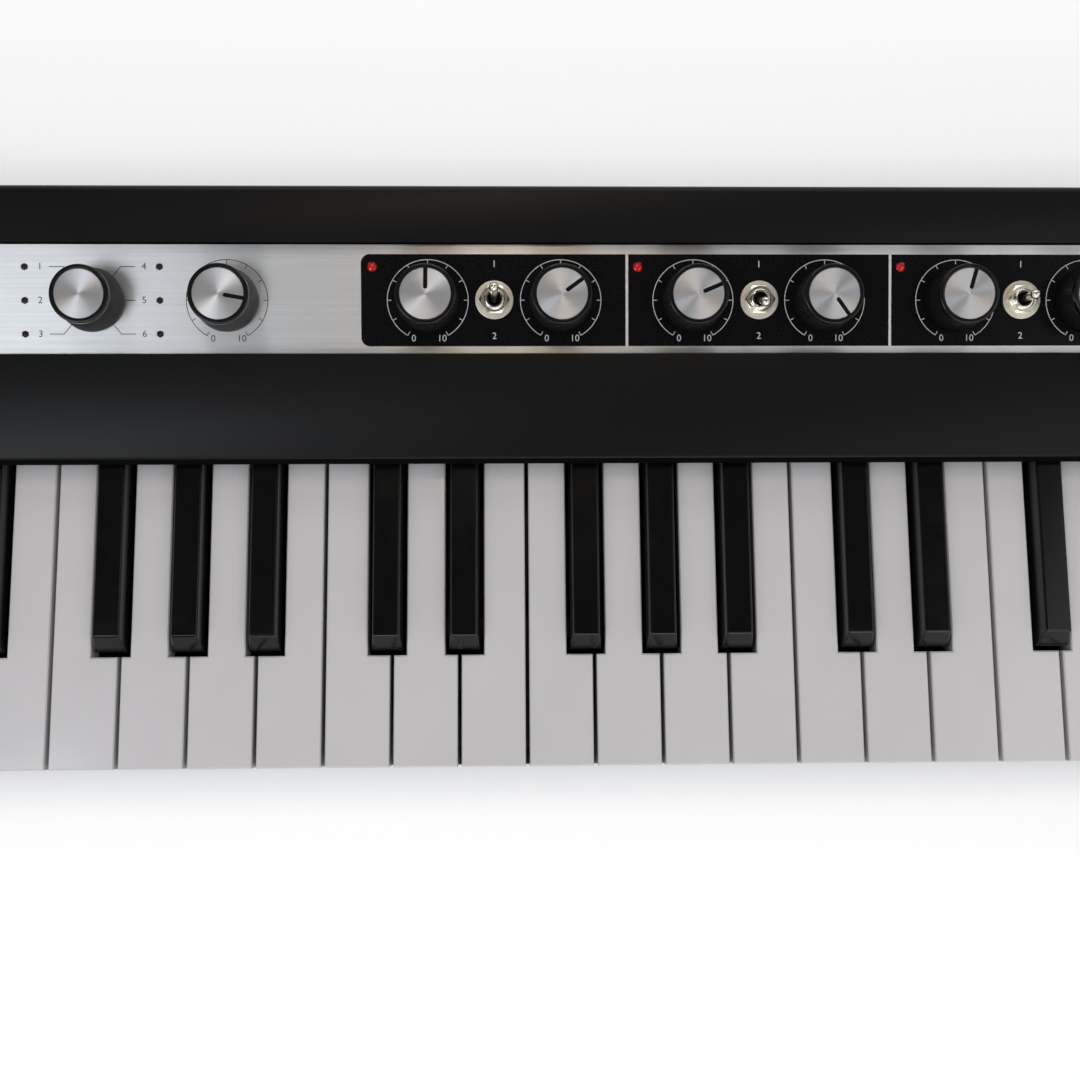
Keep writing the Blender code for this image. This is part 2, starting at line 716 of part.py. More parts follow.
def rib_places():
    """The key frame's ribs, at both ends and under the joints that have no black key."""
    reach = KEYS_HALF - KEY_SLIT - FRAME_RIB / 2
    joints = [joint for joint in range(WHITE_KEYS + 1) if black_joint(joint) is None]
    return [min(max(joint * WHITE_PITCH - KEYS_HALF, -reach), reach) for joint in joints]


def stop_places():
    """The fronts of the stop rails, the white keys' first."""
    return KEY_FRONT_Y + WHITE_STOP_BACK, PIVOT_Y + BLACK_FRONT + BLACK_STOP_BACK


def stop_top():
    return PIVOT_Z + PIVOT_DROP - BODY_DEPTH - STOP_RAIL_DROP


def frame_web():
    """The web under the pivot rail, on its flange, as (y, z)."""
    front, back = PIVOT_Y - WEB_THICKNESS / 2, PIVOT_Y + WEB_THICKNESS / 2
    toe = FLANGE_BACK_Y - FRAME_FLANGE_WIDTH
    low, high = FRAME_Z + FRAME_FLANGE, FRAME_Z + 2 * FRAME_FLANGE
    return [
        (toe, FRAME_Z),
        (FLANGE_BACK_Y, FRAME_Z),
        (FLANGE_BACK_Y, low),
        (back, high),
        (back, PIVOT_Z),
        (front, PIVOT_Z),
        (front, high),
        (toe, low),
    ]


def frame_rib(rail_front):
    """A rib from the front rail to the web, raised under the stop rails, as (y, z)."""
    white_stop, black_stop = stop_places()
    low, high = FRAME_Z + RIB_INSET, FRAME_Z + FRAME_RIB_HEIGHT
    raised = stop_top() - RAIL_INSET
    return [
        (rail_front + OVERLAP, low),
        (PIVOT_Y, low),
        (PIVOT_Y, PIVOT_Z - 2 * PIVOT_RADIUS),
        (FLANGE_BACK_Y - FRAME_FLANGE_WIDTH - CLEARANCE * 10, high),
        (black_stop + 2 * STOP_RAIL_WIDTH, high),
        (black_stop + STOP_RAIL_WIDTH - RAIL_INSET, raised),
        (white_stop + RAIL_INSET, raised),
        (white_stop - STOP_RAIL_WIDTH / 2, high),
        (rail_front + OVERLAP, high),
    ]


def frame_guides():
    """Corners of the blocks that stand up inside the keys and keep them in line."""
    y = KEY_FRONT_Y + GUIDE_FROM_FRONT
    half = (WHITE_PITCH - KEY_SLIT) / 2 - KEY_WALL - CLEARANCE
    top = WHITE_TOP_Z - SKIRT_DEPTH + GUIDE_OVERLAP
    guides = []
    for number in range(WHITE_KEYS):
        x = (number + 0.5) * WHITE_PITCH - KEYS_HALF
        guides.append(((x - half, y, KEY_SLIP_TOP - OVERLAP), (x + half, y + GUIDE_THICKNESS, top)))
    y = stop_places()[1] + (STOP_RAIL_WIDTH - GUIDE_THICKNESS) / 2
    half = BLACK_WIDTH / 2 - BLACK_WALL - CLEARANCE
    top = PIVOT_Z + PIVOT_DROP - BODY_DEPTH + GUIDE_OVERLAP
    for x in black_places():
        guides.append(((x - half, y, stop_top() - OVERLAP), (x + half, y + GUIDE_THICKNESS, top)))
    return guides


def make_key_frame():
    """The moulded frame: pivot rail on its web, front rail, two stop rails, ribs and the keys' guides."""
    half = KEYS_HALF - KEY_SLIT
    rail_front = FRONT_Y + KEY_SLIP_SETBACK + CASE_WALL + CLEARANCE
    obj = piece("key_frame", prism("X", -half, half, frame_web()), "frame")
    rod = circle(PIVOT_RADIUS, PIVOT_SIDES, (PIVOT_Y, PIVOT_Z))
    join(obj, prism("X", -half - RIB_INSET, half + RIB_INSET, rod))
    join(obj, box((-half, rail_front, FRAME_Z), (half, rail_front + FRAME_RAIL_WIDTH, KEY_SLIP_TOP)))
    for y in stop_places():
        join(obj, box((-half, y, stop_top() - STOP_RAIL_HEIGHT), (half, y + STOP_RAIL_WIDTH, stop_top())))
    thick = FRAME_RIB / 2 - RIB_INSET / 2
    for x in rib_places():
        join(obj, prism("X", x - thick, x + thick, frame_rib(rail_front)))
    join(obj, boxes(frame_guides()))


# Case


def case_outline(inset):
    """The case from above, set back at the front under the keys, drawn in by inset."""
    corner = max(CASE_CORNER - inset, 0.5 * MM)
    x0, x1 = inset - HALF_WIDTH, HALF_WIDTH - inset
    y0, y1 = FRONT_Y + inset, BACK_Y - inset
    bed = BED_HALF + inset
    slip = FRONT_Y + KEY_SLIP_SETBACK + inset
    return (
        arc((x0 + corner, y0 + corner), corner, 180, 270, CORNER_STEPS)
        + [(-bed, y0), (-bed, slip), (bed, slip), (bed, y0)]
        + arc((x1 - corner, y0 + corner), corner, 270, 360, CORNER_STEPS)
        + arc((x1 - corner, y1 - corner), corner, 0, 90, CORNER_STEPS)
        + arc((x0 + corner, y1 - corner), corner, 90, 180, CORNER_STEPS)
    )


def bay_box():
    """Low and high corners of the space for the cells."""
    half = CELLS_IN_ROW * CELL_LENGTH / 2 + BAY_ENDS
    roof = FLOOR_Z + CELL_DIAMETER + BAY_HEAD
    return Vector((-half, BAY_FRONT_Y, FLOOR_Z)), Vector((half, BAY_BACK_Y, roof))


def cover_opening():
    """Low and high corners of the opening under the cells."""
    low, high = bay_box()
    return (
        Vector((low.x + BAY_ENDS, low.y + BAY_LEDGE, FOOT_HEIGHT)),
        Vector((high.x - BAY_ENDS, high.y - CLEARANCE, FLOOR_Z)),
    )


def post_places():
    x = HALF_WIDTH - POST_INSET_X
    front = FRONT_Y + POST_INSET_Y
    back = BACK_Y - POST_INSET_Y
    return [(-x, front), (x, front), (-x, back), (x, back), (-REAR_POST_X, back), (REAR_POST_X, back)]


def foot_places():
    x, y = HALF_WIDTH - FOOT_INSET_X, CASE_DEPTH / 2 - FOOT_INSET_Y
    return [(-x, -y), (-x, y), (x, -y), (x, y)]


def make_lower_case():
    """The tray: floor, walls with a tongue, walls beside the keys, battery bay, screw posts and feet."""
    top = PARTING_Z - PARTING_GAP / 2
    obj = piece("lower_case", prism("Z", FOOT_HEIGHT, top, case_outline(0)), "case")
    cut(obj, prism("Z", FLOOR_Z, top + 5 * OVERLAP, case_outline(CASE_WALL)))
    tongue = case_outline(CASE_WALL - TONGUE_WALL), case_outline(CASE_WALL + TONGUE_INSET)
    join(obj, prism("Z", top - TONGUE_RISE, top + TONGUE_RISE, *tongue))
    slip_back = FRONT_Y + KEY_SLIP_SETBACK + CASE_WALL + OVERLAP
    cut(obj, box((-BED_HALF, FRONT_Y - OVERLAP, KEY_SLIP_TOP), (BED_HALF, slip_back, 2 * PARTING_Z)))
    for side in (-1, 1):
        x0, x1 = sorted((side * BED_HALF, side * (BED_HALF + CASE_WALL)))
        join(obj, box((x0, FRONT_Y + OVERLAP, FLOOR_Z - OVERLAP), (x1, LIP_Y + CASE_WALL, top)))
    low, high = bay_box()
    wall = Vector((BAY_WALL, BAY_WALL, 0))
    root = Vector((0, 0, OVERLAP))
    join(obj, box(low - wall - root, high + wall + Vector((0, 0, BAY_WALL))))
    back_fill = BACK_Y - CASE_WALL + TONGUE_WALL / 2, top + TONGUE_RISE - CLEARANCE
    join(obj, box((low.x - BAY_WALL, high.y, FLOOR_Z - OVERLAP), (high.x + BAY_WALL, *back_fill)))
    for place in post_places():
        join(obj, cylinders([place], POST_RADIUS, FLOOR_Z - OVERLAP, POST_TOP, POST_SIDES))
    foot = FOOT_RADIUS - FOOT_DRAFT, 0, FOOT_HEIGHT + OVERLAP / 2, TURNED_SIDES, FOOT_RADIUS
    join(obj, cylinders(foot_places(), *foot))
    cut(obj, box(low, high))
    open_low, open_high = cover_opening()
    cut(obj, box(open_low - root, open_high + root))
    recess = FOOT_HEIGHT - OVERLAP, FOOT_HEIGHT + SCREW_RECESS_DEPTH
    cut(obj, cylinders(post_places(), SCREW_RECESS, *recess, POST_SIDES))


def top_profile(inset, bottom, back_inset=0.0):
    """The sloping top and back wall from the side, as (y, z), drawn in by inset, or back_inset behind."""
    slope = math.degrees(PANEL_TILT)
    lip = max(LIP_ROUND - inset, 0.4 * MM)
    back = max(BACK_ROUND - inset, 0.6 * MM)
    y0, y1 = LIP_Y + inset, BACK_Y - back_inset
    drop = inset / math.cos(PANEL_TILT)

    def line(y):
        return slab_z(y) - drop

    # A round between an upright wall and the slope: its centre is one radius inside both
    lip_centre = (y0 + lip, line(y0 + lip) - lip / math.cos(PANEL_TILT))
    back_centre = (y1 - back, line(y1 - back) - back / math.cos(PANEL_TILT))
    return (
        [(y0, bottom)]
        + arc(lip_centre, lip, 180, 90 + slope, 3)
        + arc(back_centre, back, 90 + slope, 0, 4)
        + [(y1, bottom)]
    )


def end_block():
    """The block beside the keys from the side, as (y, z)."""
    bottom = PARTING_Z + PARTING_GAP / 2
    back = LIP_Y + LIP_ROUND + OVERLAP
    front = arc((FRONT_Y + LIP_ROUND, END_BLOCK_Z - LIP_ROUND), LIP_ROUND, 180, 90, 3)
    return [(FRONT_Y, bottom), *front, (back, END_BLOCK_Z), (back, bottom)]


def make_upper_case():
    """The sloping top with its end blocks, hollow below, open for the strip, speakers and sockets."""
    bottom = PARTING_Z + PARTING_GAP / 2
    outer = helper("top_blank", prism("X", -HALF_WIDTH, HALF_WIDTH, top_profile(0, bottom)))
    for side in (-1, 1):
        x0, x1 = sorted((side * BED_HALF, side * HALF_WIDTH))
        join(outer, prism("X", x0, x1, end_block()))

    def at_ends(edge):
        outside = all(abs(abs(v.co.x) - HALF_WIDTH) < 1e-6 for v in edge.verts)
        under = all(abs(v.co.z - bottom) < 1e-6 for v in edge.verts)
        return outside and not under and edge.calc_face_angle(0) > 0.5

    obj = piece("upper_case", bevel_edges(frozen(outer), at_ends, EDGE_ROUND), "case")
    inside = HALF_WIDTH - CASE_WALL
    low = bottom - 5 * OVERLAP
    cut(obj, prism("X", -inside, inside, top_profile(TOP_WALL, low, CASE_WALL)))
    mouth_back = LIP_Y + TOP_WALL + OVERLAP
    cut(obj, box((-BED_HALF, LIP_Y - 5 * OVERLAP, low), (BED_HALF, mouth_back, LIP_Z - LIP_THICKNESS)))
    for side in (-1, 1):
        x0, x1 = sorted((side * (BED_HALF + CASE_WALL), side * inside))
        cut(obj, box((x0, FRONT_Y + CASE_WALL, low), (x1, mouth_back + OVERLAP, END_BLOCK_Z - CASE_WALL)))
    rebate = case_outline(CASE_WALL - TONGUE_WALL - CLEARANCE), case_outline(CASE_WALL + OVERLAP)
    cut(obj, prism("Z", low, PARTING_Z + TONGUE_RISE + CLEARANCE, *rebate))
    for x, y in post_places():
        roof = END_BLOCK_Z if y < LIP_Y else slab_z(y)
        join(obj, cylinders([(x, y)], BOSS_RADIUS, POST_TOP + CLEARANCE, roof - CASE_WALL / 2, POST_SIDES))
    open_strip(obj)
    open_back(obj)


def open_strip(case):
    """The strip's recess and window, and the speakers' mouths beside it."""
    half_u, front, back = PANEL_LENGTH / 2 + CLEARANCE, PANEL_FRONT - CLEARANCE, PANEL_BACK + CLEARANCE
    seat = -PANEL_RECESS - PANEL_THICKNESS - CLEARANCE / 3
    above = 5 * OVERLAP
    recess = rounded_rectangle((-half_u, front), (half_u, back), PANEL_CORNER, 1)
    cut(case, prism("Z", seat, above, recess), PANEL_FRAME)
    low = (PANEL_LEDGE - half_u, front + PANEL_LEDGE, -2 * TOP_WALL)
    cut(case, box(low, (half_u - PANEL_LEDGE, back - PANEL_LEDGE, above)), PANEL_FRAME)
    mouths = cylinders(
        [(-SPEAKER_X, 0), (SPEAKER_X, 0)], SPEAKER_MOUTH + CLEARANCE, -2 * TOP_WALL, above, SPEAKER_STEPS
    )
    cut(case, mouths, PANEL_FRAME)


def open_back(case):
    """The openings in the back wall for the sockets and the power button."""
    low, high = BACK_Y - CASE_WALL - OVERLAP, BACK_Y + OVERLAP
    rounds = [(x, JACK_RIM) for x in JACK_XS]
    rounds += [(MIDI_X, MIDI_RADIUS + SOCKET_WALL), (INLET_X, INLET_RADIUS + SOCKET_WALL)]
    for x, radius in rounds:
        cut(case, along_y(radius + CLEARANCE, x, low, high))
    usb = USB_MOUTH + Vector((1, 0, 1)) * 2 * (USB_SHELL + USB_GAP)
    power = POWER_BUTTON + Vector((1, 0, 1)) * 2 * POWER_GAP
    for x, size in ((USB_X, usb), (POWER_X, power)):
        cut(case, at_sockets(x, size.x, size.z, low, high))


def along_y(radius, x, low, high, sides=TURNED_SIDES):
    """A round bar along Y at the sockets' height."""
    outline = [(SOCKET_Z + b, x + a) for a, b in circle(radius, sides)]
    return prism("Y", low, high, outline)


def at_sockets(x, width, height, low, high):
    """A square bar along Y at the sockets' height."""
    return box((x - width / 2, low, SOCKET_Z - height / 2), (x + width / 2, high, SOCKET_Z + height / 2))


# Control strip and what works behind it


def row_places(steps):
    """Places in the strip's plane of controls that stand in its middle row."""
    return [(step * CONTROL_STEP, 0) for step in steps.values()]


def lamp_places():
    return [(step * CONTROL_STEP + LAMP_INSET, LAMP_BACK) for step in SECTION_STEPS]


def dot_places():
    middle = KNOB_STEPS[DOT_AROUND] * CONTROL_STEP
    return [(middle + side * CONTROL_STEP, row * LAMP_BACK) for side in (-1, 1) for row in (-1, 0, 1)]


def make_control_panel():
    """The strip, with holes for shafts, bushings and lamps, and the slide's slot."""
    half_u = PANEL_LENGTH / 2
    outlines = [rounded_rectangle((-half_u, PANEL_FRONT), (half_u, PANEL_BACK), PANEL_CORNER, 1)]
    shaft_hole, bushing_hole = SHAFT_RADIUS + 2 * SHAFT_CLEARANCE, BUSHING_RADIUS + SHAFT_CLEARANCE
    outlines += [circle(shaft_hole, SHAFT_SIDES, place) for place in row_places(KNOB_STEPS)]
    outlines += [circle(bushing_hole, TURNED_SIDES, place) for place in row_places(LEVER_STEPS)]
    outlines += [circle(LAMP_RADIUS + CLEARANCE, LAMP_SIDES, place) for place in lamp_places()]
    outlines += [circle(DOT_RADIUS + CLEARANCE, LAMP_SIDES, place) for place in dot_places()]
    u, v = SLIDE_TRAVEL + SLIDE_STEM.x / 2 + SHAFT_CLEARANCE, SLIDE_STEM.y / 2 + SHAFT_CLEARANCE
    for x, _ in row_places(SLIDE_STEPS):
        outlines.append([(x - u, -v), (x + u, -v), (x + u, v), (x - u, v)])
    bottom = -PANEL_RECESS - PANEL_THICKNESS
    piece("control_panel", prism("Z", bottom, -PANEL_RECESS, *outlines), "panel", PANEL_FRAME)


def knob_mesh(with_pointer):
    """A ribbed skirt that tapers to a rim, a sunk cap with a pointer slot, and the shaft, about Z."""
    turn = math.pi / KNOB_RIBS
    radii = [KNOB_RADIUS - (i % 2) * RIB_DEPTH for i in range(2 * KNOB_RIBS)]
    skirt = [(r * math.cos(i * turn), r * math.sin(i * turn)) for i, r in enumerate(radii)]
    mesh = prism("Z", 0, KNOB_HEIGHT, skirt)
    bm = bmesh.new()
    bm.from_mesh(mesh)
    top = [v for v in bm.verts if v.co.z > KNOB_HEIGHT / 2]
    bmesh.ops.scale(bm, vec=(KNOB_NECK / KNOB_RADIUS, KNOB_NECK / KNOB_RADIUS, 1), verts=top)
    bm.to_mesh(mesh)
    bm.free()
    body = helper("knob_body", mesh)
    cap = KNOB_HEIGHT - CAP_SUNK
    cut(body, cylinders([(0, 0)], CAP_RADIUS, cap, KNOB_HEIGHT + OVERLAP, CAP_SIDES))
    join(body, cylinders([(0, 0)], SHAFT_RADIUS, -SHAFT_LENGTH, OVERLAP, SHAFT_SIDES))
    if with_pointer:
        half, end = POINTER_WIDTH / 2, CAP_RADIUS - CLEARANCE
        cut(body, box((-half, POINTER_START, cap - POINTER_DEPTH), (half, end, KNOB_HEIGHT + OVERLAP)))
    return frozen(body)


def make_knobs():
    meshes = {True: knob_mesh(True), False: knob_mesh(False)}
    for name, step in KNOB_STEPS.items():
        place = Matrix.Translation((step * CONTROL_STEP, 0, KNOB_LIFT - PANEL_RECESS))
        turn = Matrix.Rotation(-math.radians(KNOB_TURNS.get(name, 0)), 4, "Z")
        piece(name, meshes[name in KNOB_TURNS], "knob", PANEL_FRAME @ place @ turn)


def make_levers():
    """Each lever turns about a ball inside its bushing."""
    tip = arc((0, LEVER_LENGTH - LEVER_TIP), LEVER_TIP, 90, -20, 3)
    ball = arc((0, 0), LEVER_BALL, 60, -90, 4)
    root = (LEVER_ROOT, LEVER_BALL + LEVER_ROOT / 2)
    profile = [(0, LEVER_LENGTH), *tip[1:], root, *ball[:-1], (0, -LEVER_BALL)]
    mesh = turned(profile, LEVER_SIDES)
    for name, step in LEVER_STEPS.items():
        place = Matrix.Translation((step * CONTROL_STEP, 0, LEVER_PIVOT_RISE - PANEL_RECESS))
        lean = Matrix.Rotation(math.radians(LEVER_LEANS[name]), 4, "X")
        piece(name, mesh.copy(), "lever", PANEL_FRAME @ place @ lean)


def make_slide():
    """The octave slide: a grooved cap on a stem that runs in the strip's slot."""
    cap, stem = SLIDE_CAP, SLIDE_STEM
    mesh = box((-cap.x / 2, -cap.y / 2, 0), (cap.x / 2, cap.y / 2, cap.z))
    bevel_edges(mesh, at_height(cap.z), SLIDE_GROOVE)
    for name, step in SLIDE_STEPS.items():
        place = PANEL_FRAME @ Matrix.Translation((step * CONTROL_STEP, 0, KNOB_LIFT - PANEL_RECESS))
        obj = piece(name, mesh, "knob", place)
        join(obj, box((-stem.x / 2, -stem.y / 2, -stem.z), (stem.x / 2, stem.y / 2, OVERLAP)), place)
        half = SLIDE_GROOVE / 2
        cut(obj, box((-half, -cap.y, cap.z - SLIDE_GROOVE), (half, cap.y, cap.z + OVERLAP)), place)


def board_outline():
    """The board from above in the strip's plane, deeper in the middle, where the sockets are."""
    half, wide = PANEL_LENGTH / 2 - BOARD_MARGIN, SOCKET_BOARD_HALF
    front, middle = -BOARD_HALF_DEPTH, BOARD_HALF_DEPTH
    back = (BACK_Y - CASE_WALL - BOARD_BACK_GAP - PANEL_Y) / math.cos(PANEL_TILT)
    back -= BOARD_DROP * math.sin(PANEL_TILT)
    return [
        (-half, front),
        (half, front),
        (half, middle),
        (wide, middle),
        (wide, back),
        (-wide, back),
        (-wide, middle),
        (-half, middle),
    ]


def make_main_board():
    """The board with its pots, switches, lamps and rear sockets soldered on, in the strip's plane."""
    top = -BOARD_DROP
    root = top - BOARD_THICKNESS / 3
    face = -PANEL_RECESS
    obj = piece("main_board", prism("Z", top - BOARD_THICKNESS, top, board_outline()), "board", PANEL_FRAME)

    def stand(places, size, height):
        """Square bodies on the board."""
        x, y = size[0] / 2, size[1] / 2
        blocks = [((a - x, b - y, root), (a + x, b + y, top + height)) for a, b in places]
        join(obj, boxes(blocks), PANEL_FRAME)

    def posts(places, radius, low, high, sides):
        join(obj, cylinders(places, radius, low, high, sides), PANEL_FRAME)

    pots, levers, slides = row_places(KNOB_STEPS), row_places(LEVER_STEPS), row_places(SLIDE_STEPS)
    shaft_hole = SHAFT_RADIUS + SHAFT_CLEARANCE
    pot_top, switch_top = top + POT_HEIGHT, top + SWITCH_HEIGHT
    stand(pots, (POT_SIZE, POT_SIZE), POT_HEIGHT)
    under_panel = face - PANEL_THICKNESS - CLEARANCE
    posts(pots, shaft_hole + POT_BUSHING_WALL, pot_top - BOARD_THICKNESS / 3, under_panel, NUT_SIDES)
    shaft_bottom = face + KNOB_LIFT - SHAFT_LENGTH - CLEARANCE
    cut(obj, cylinders(pots, shaft_hole, shaft_bottom, 0, SHAFT_SIDES), PANEL_FRAME)
    stand(levers, SWITCH_SIZE, SWITCH_HEIGHT)
    bushing_top = face + BUSHING_RISE
    posts(levers, BUSHING_RADIUS, switch_top - BOARD_THICKNESS / 3, bushing_top, TURNED_SIDES)
    washer = face + CLEARANCE
    nut = washer + WASHER_THICKNESS - RIB_INSET
    posts(levers, WASHER_RADIUS, washer, washer + WASHER_THICKNESS, TURNED_SIDES)
    posts(levers, NUT_RADIUS, nut, nut + NUT_THICKNESS, NUT_SIDES)
    bore = bushing_top - BORE_DEPTH, bushing_top + OVERLAP
    cut(obj, cylinders(levers, BUSHING_BORE, *bore, SHAFT_SIDES), PANEL_FRAME)
    posts(lamp_places(), LAMP_RADIUS, root, face - LAMP_SUNK, LAMP_SIDES)
    posts(dot_places(), DOT_RADIUS, root, face - DOT_SUNK, LAMP_SIDES)
    stand(slides, SLIDE_BODY, SLIDE_BODY.z)
    run = SLIDE_TRAVEL + SLIDE_STEM.x / 2 + SHAFT_CLEARANCE
    side = SLIDE_STEM.y / 2 + SHAFT_CLEARANCE
    stem_low = face + KNOB_LIFT - SLIDE_STEM.z - CLEARANCE
    for x, _ in slides:
        cut(obj, box((x - run, -side, stem_low), (x + run, side, 0)), PANEL_FRAME)
    add_sockets(obj)


def add_sockets(board):
    """The rear sockets, which stand square to the back wall under the board's back edge."""
    wall = BACK_Y - CASE_WALL - CLEARANCE
    root = wall - OVERLAP
    rim = BACK_Y + SOCKET_PROUD
    past = rim + OVERLAP
    roof = slab_z(wall) - (BOARD_DROP + BOARD_THICKNESS) / math.cos(PANEL_TILT)
    sizes = [(x, JACK_BODY) for x in JACK_XS]
    sizes += [(USB_X, USB_SIZE), (MIDI_X, MIDI_SIZE), (INLET_X, INLET_SIZE), (POWER_X, POWER_BODY)]
    bodies = []
    for x, s in sizes:
        low = x - s.x / 2, wall - s.y, SOCKET_Z - s.z / 2
        bodies.append((low, (x + s.x / 2, wall, roof + SOCKET_SINK)))
    join(board, boxes(bodies))
    for x in JACK_XS:
        join(board, along_y(JACK_RIM, x, root, rim))
        cut(board, along_y(JACK_BORE, x, rim - JACK_REACH, past))
    for x, radius, depth in ((MIDI_X, MIDI_RADIUS, MIDI_DEPTH), (INLET_X, INLET_RADIUS, INLET_DEPTH)):
        join(board, along_y(radius + SOCKET_WALL, x, root, BACK_Y))
        cut(board, along_y(radius, x, BACK_Y - depth, past))
    pin_low = BACK_Y - INLET_DEPTH - SOCKET_PIN_ROOT
    join(board, along_y(INLET_PIN, INLET_X, pin_low, BACK_Y - SOCKET_PIN_ROOT, SHAFT_SIDES))
    mouth, tongue = USB_MOUTH, USB_TONGUE
    shell = 2 * USB_SHELL
    join(board, at_sockets(USB_X, mouth.x + shell, mouth.z + shell, root, BACK_Y))
    cut(board, at_sockets(USB_X, mouth.x, mouth.z, BACK_Y - mouth.y, past))
    tongue_low = BACK_Y - mouth.y - SOCKET_PIN_ROOT
    join(board, at_sockets(USB_X, tongue.x, tongue.z, tongue_low, tongue_low + tongue.y))
    pocket = rim - POWER_BUTTON.y - POWER_TRAVEL - CLEARANCE
    width, height = POWER_BUTTON.x + 2 * POWER_GAP, POWER_BUTTON.z + 2 * POWER_GAP
    cut(board, at_sockets(POWER_X, width, height, pocket, past))


def make_power_button():
    size = POWER_BUTTON
    mesh = box((-size.x / 2, -size.y, -size.z / 2), (size.x / 2, 0, size.z / 2))

    def back_edges(edge):
        return all(abs(v.co.y) < 1e-6 for v in edge.verts)

    place = Matrix.Translation((POWER_X, BACK_Y + SOCKET_PROUD, SOCKET_Z))
    piece("power_button", bevel_edges(mesh, back_edges, POWER_ROUND), "knob", place)


def grille_holes():
    """Rings round a middle hole, each with as many more holes as the first."""
    places = [(0.0, 0.0)]
    for ring in range(1, GRILLE_RINGS + 1):
        places += circle(ring * GRILLE_PITCH, GRILLE_SIDES * ring)
    return places


def speaker_mesh():
    """A small driver with its basket, cone and dome, behind a perforated grille with its face at z = 0."""
    under = GRILLE_SUNK - TOP_WALL - CLEARANCE
    bottom = under - SPEAKER_DEPTH
    magnet_top = bottom + SPEAKER_MAGNET_HEIGHT
    outside = [
        (0, 0),
        (SPEAKER_MOUTH, 0),
        (SPEAKER_MOUTH, under),
        (SPEAKER_FLANGE, under),
        (SPEAKER_FLANGE, under - 2 * SPEAKER_RIM),
        (SPEAKER_MAGNET + SPEAKER_RIM, magnet_top),
        (SPEAKER_MAGNET, magnet_top),
        (SPEAKER_MAGNET, bottom),
        (0, bottom),
    ]
    inner = SPEAKER_MOUTH - SPEAKER_RIM
    inside = [
        (0, -GRILLE_THICKNESS),
        (inner, -GRILLE_THICKNESS),
        (inner, under - SPEAKER_RIM),
        (SPEAKER_MAGNET / 2, under - SPEAKER_MAGNET_HEIGHT),
        (0, under - SPEAKER_MAGNET_HEIGHT / 2),
    ]
    body = helper("speaker_body", turned(outside, SPEAKER_STEPS))
    cut(body, turned(inside, SPEAKER_STEPS))
    cut(body, cylinders(grille_holes(), GRILLE_HOLE, -GRILLE_THICKNESS - CLEARANCE, OVERLAP, LAMP_SIDES))
    return frozen(body)


def make_speakers():
    mesh = speaker_mesh()
    half_step = Matrix.Rotation(math.pi / SPEAKER_STEPS, 4, "Z")
    for name, x in (("left_speaker", -SPEAKER_X), ("right_speaker", SPEAKER_X)):
        piece(name, mesh, "speaker", PANEL_FRAME @ Matrix.Translation((x, 0, -GRILLE_SUNK)) @ half_step)


def make_battery_cover():
    """The cover under the cells. It swings down about its front edge, its origin, where its tabs hold it."""
    low, high = cover_opening()
    edge = Vector((0, low.y + COVER_GAP, FOOT_HEIGHT))
    half = high.x - COVER_GAP
    depth = high.y - COVER_GAP - edge.y
    place = Matrix.Translation(edge)
    obj = piece("battery_cover", box((-half, 0, 0), (half, depth, CASE_WALL)), "case", place)
    root = CASE_WALL - OVERLAP / 2
    lift = CASE_WALL + CLEARANCE
    tab = COVER_TAB
    outline = [
        (TAB_ROOT, root),
        (TAB_ROOT, lift + tab.z),
        (-tab.y, lift + tab.z),
        (-tab.y, lift),
        (TAB_STEP, lift),
        (TAB_STEP, root),
    ]
    for number in range(COVER_TABS):
        x = (number - (COVER_TABS - 1) / 2) * half * COVER_TAB_SPREAD
        join(obj, across_x(tab.x, outline, x), place)
    latch, back = LATCH_SIZE, depth - LATCH_INSET
    join(obj, box((-latch.x / 2, back - latch.y, root), (latch.x / 2, back, CASE_WALL + latch.z)), place)
    grip, grip_back = LATCH_GRIP, depth - LATCH_GRIP_INSET
    cut(obj, box((-grip.x / 2, grip_back - grip.y, -OVERLAP), (grip.x / 2, grip_back, grip.z)), place)


def main():
    make_lower_case()
    make_upper_case()
    make_battery_cover()
    make_key_frame()
    make_keys()
    make_control_panel()
    make_main_board()
    make_knobs()
    make_levers()
    make_slide()
    make_power_button()
    make_speakers()


main()
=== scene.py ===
"""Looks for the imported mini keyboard: keys, case, spun knobs, switch hardware, dial prints and the stage."""

import json
import math

import bmesh
import bpy
from bpy.props import FloatProperty, FloatVectorProperty, IntProperty, PointerProperty
from bpy.types import Operator, Panel, PropertyGroup
from mathutils import Matrix, Vector

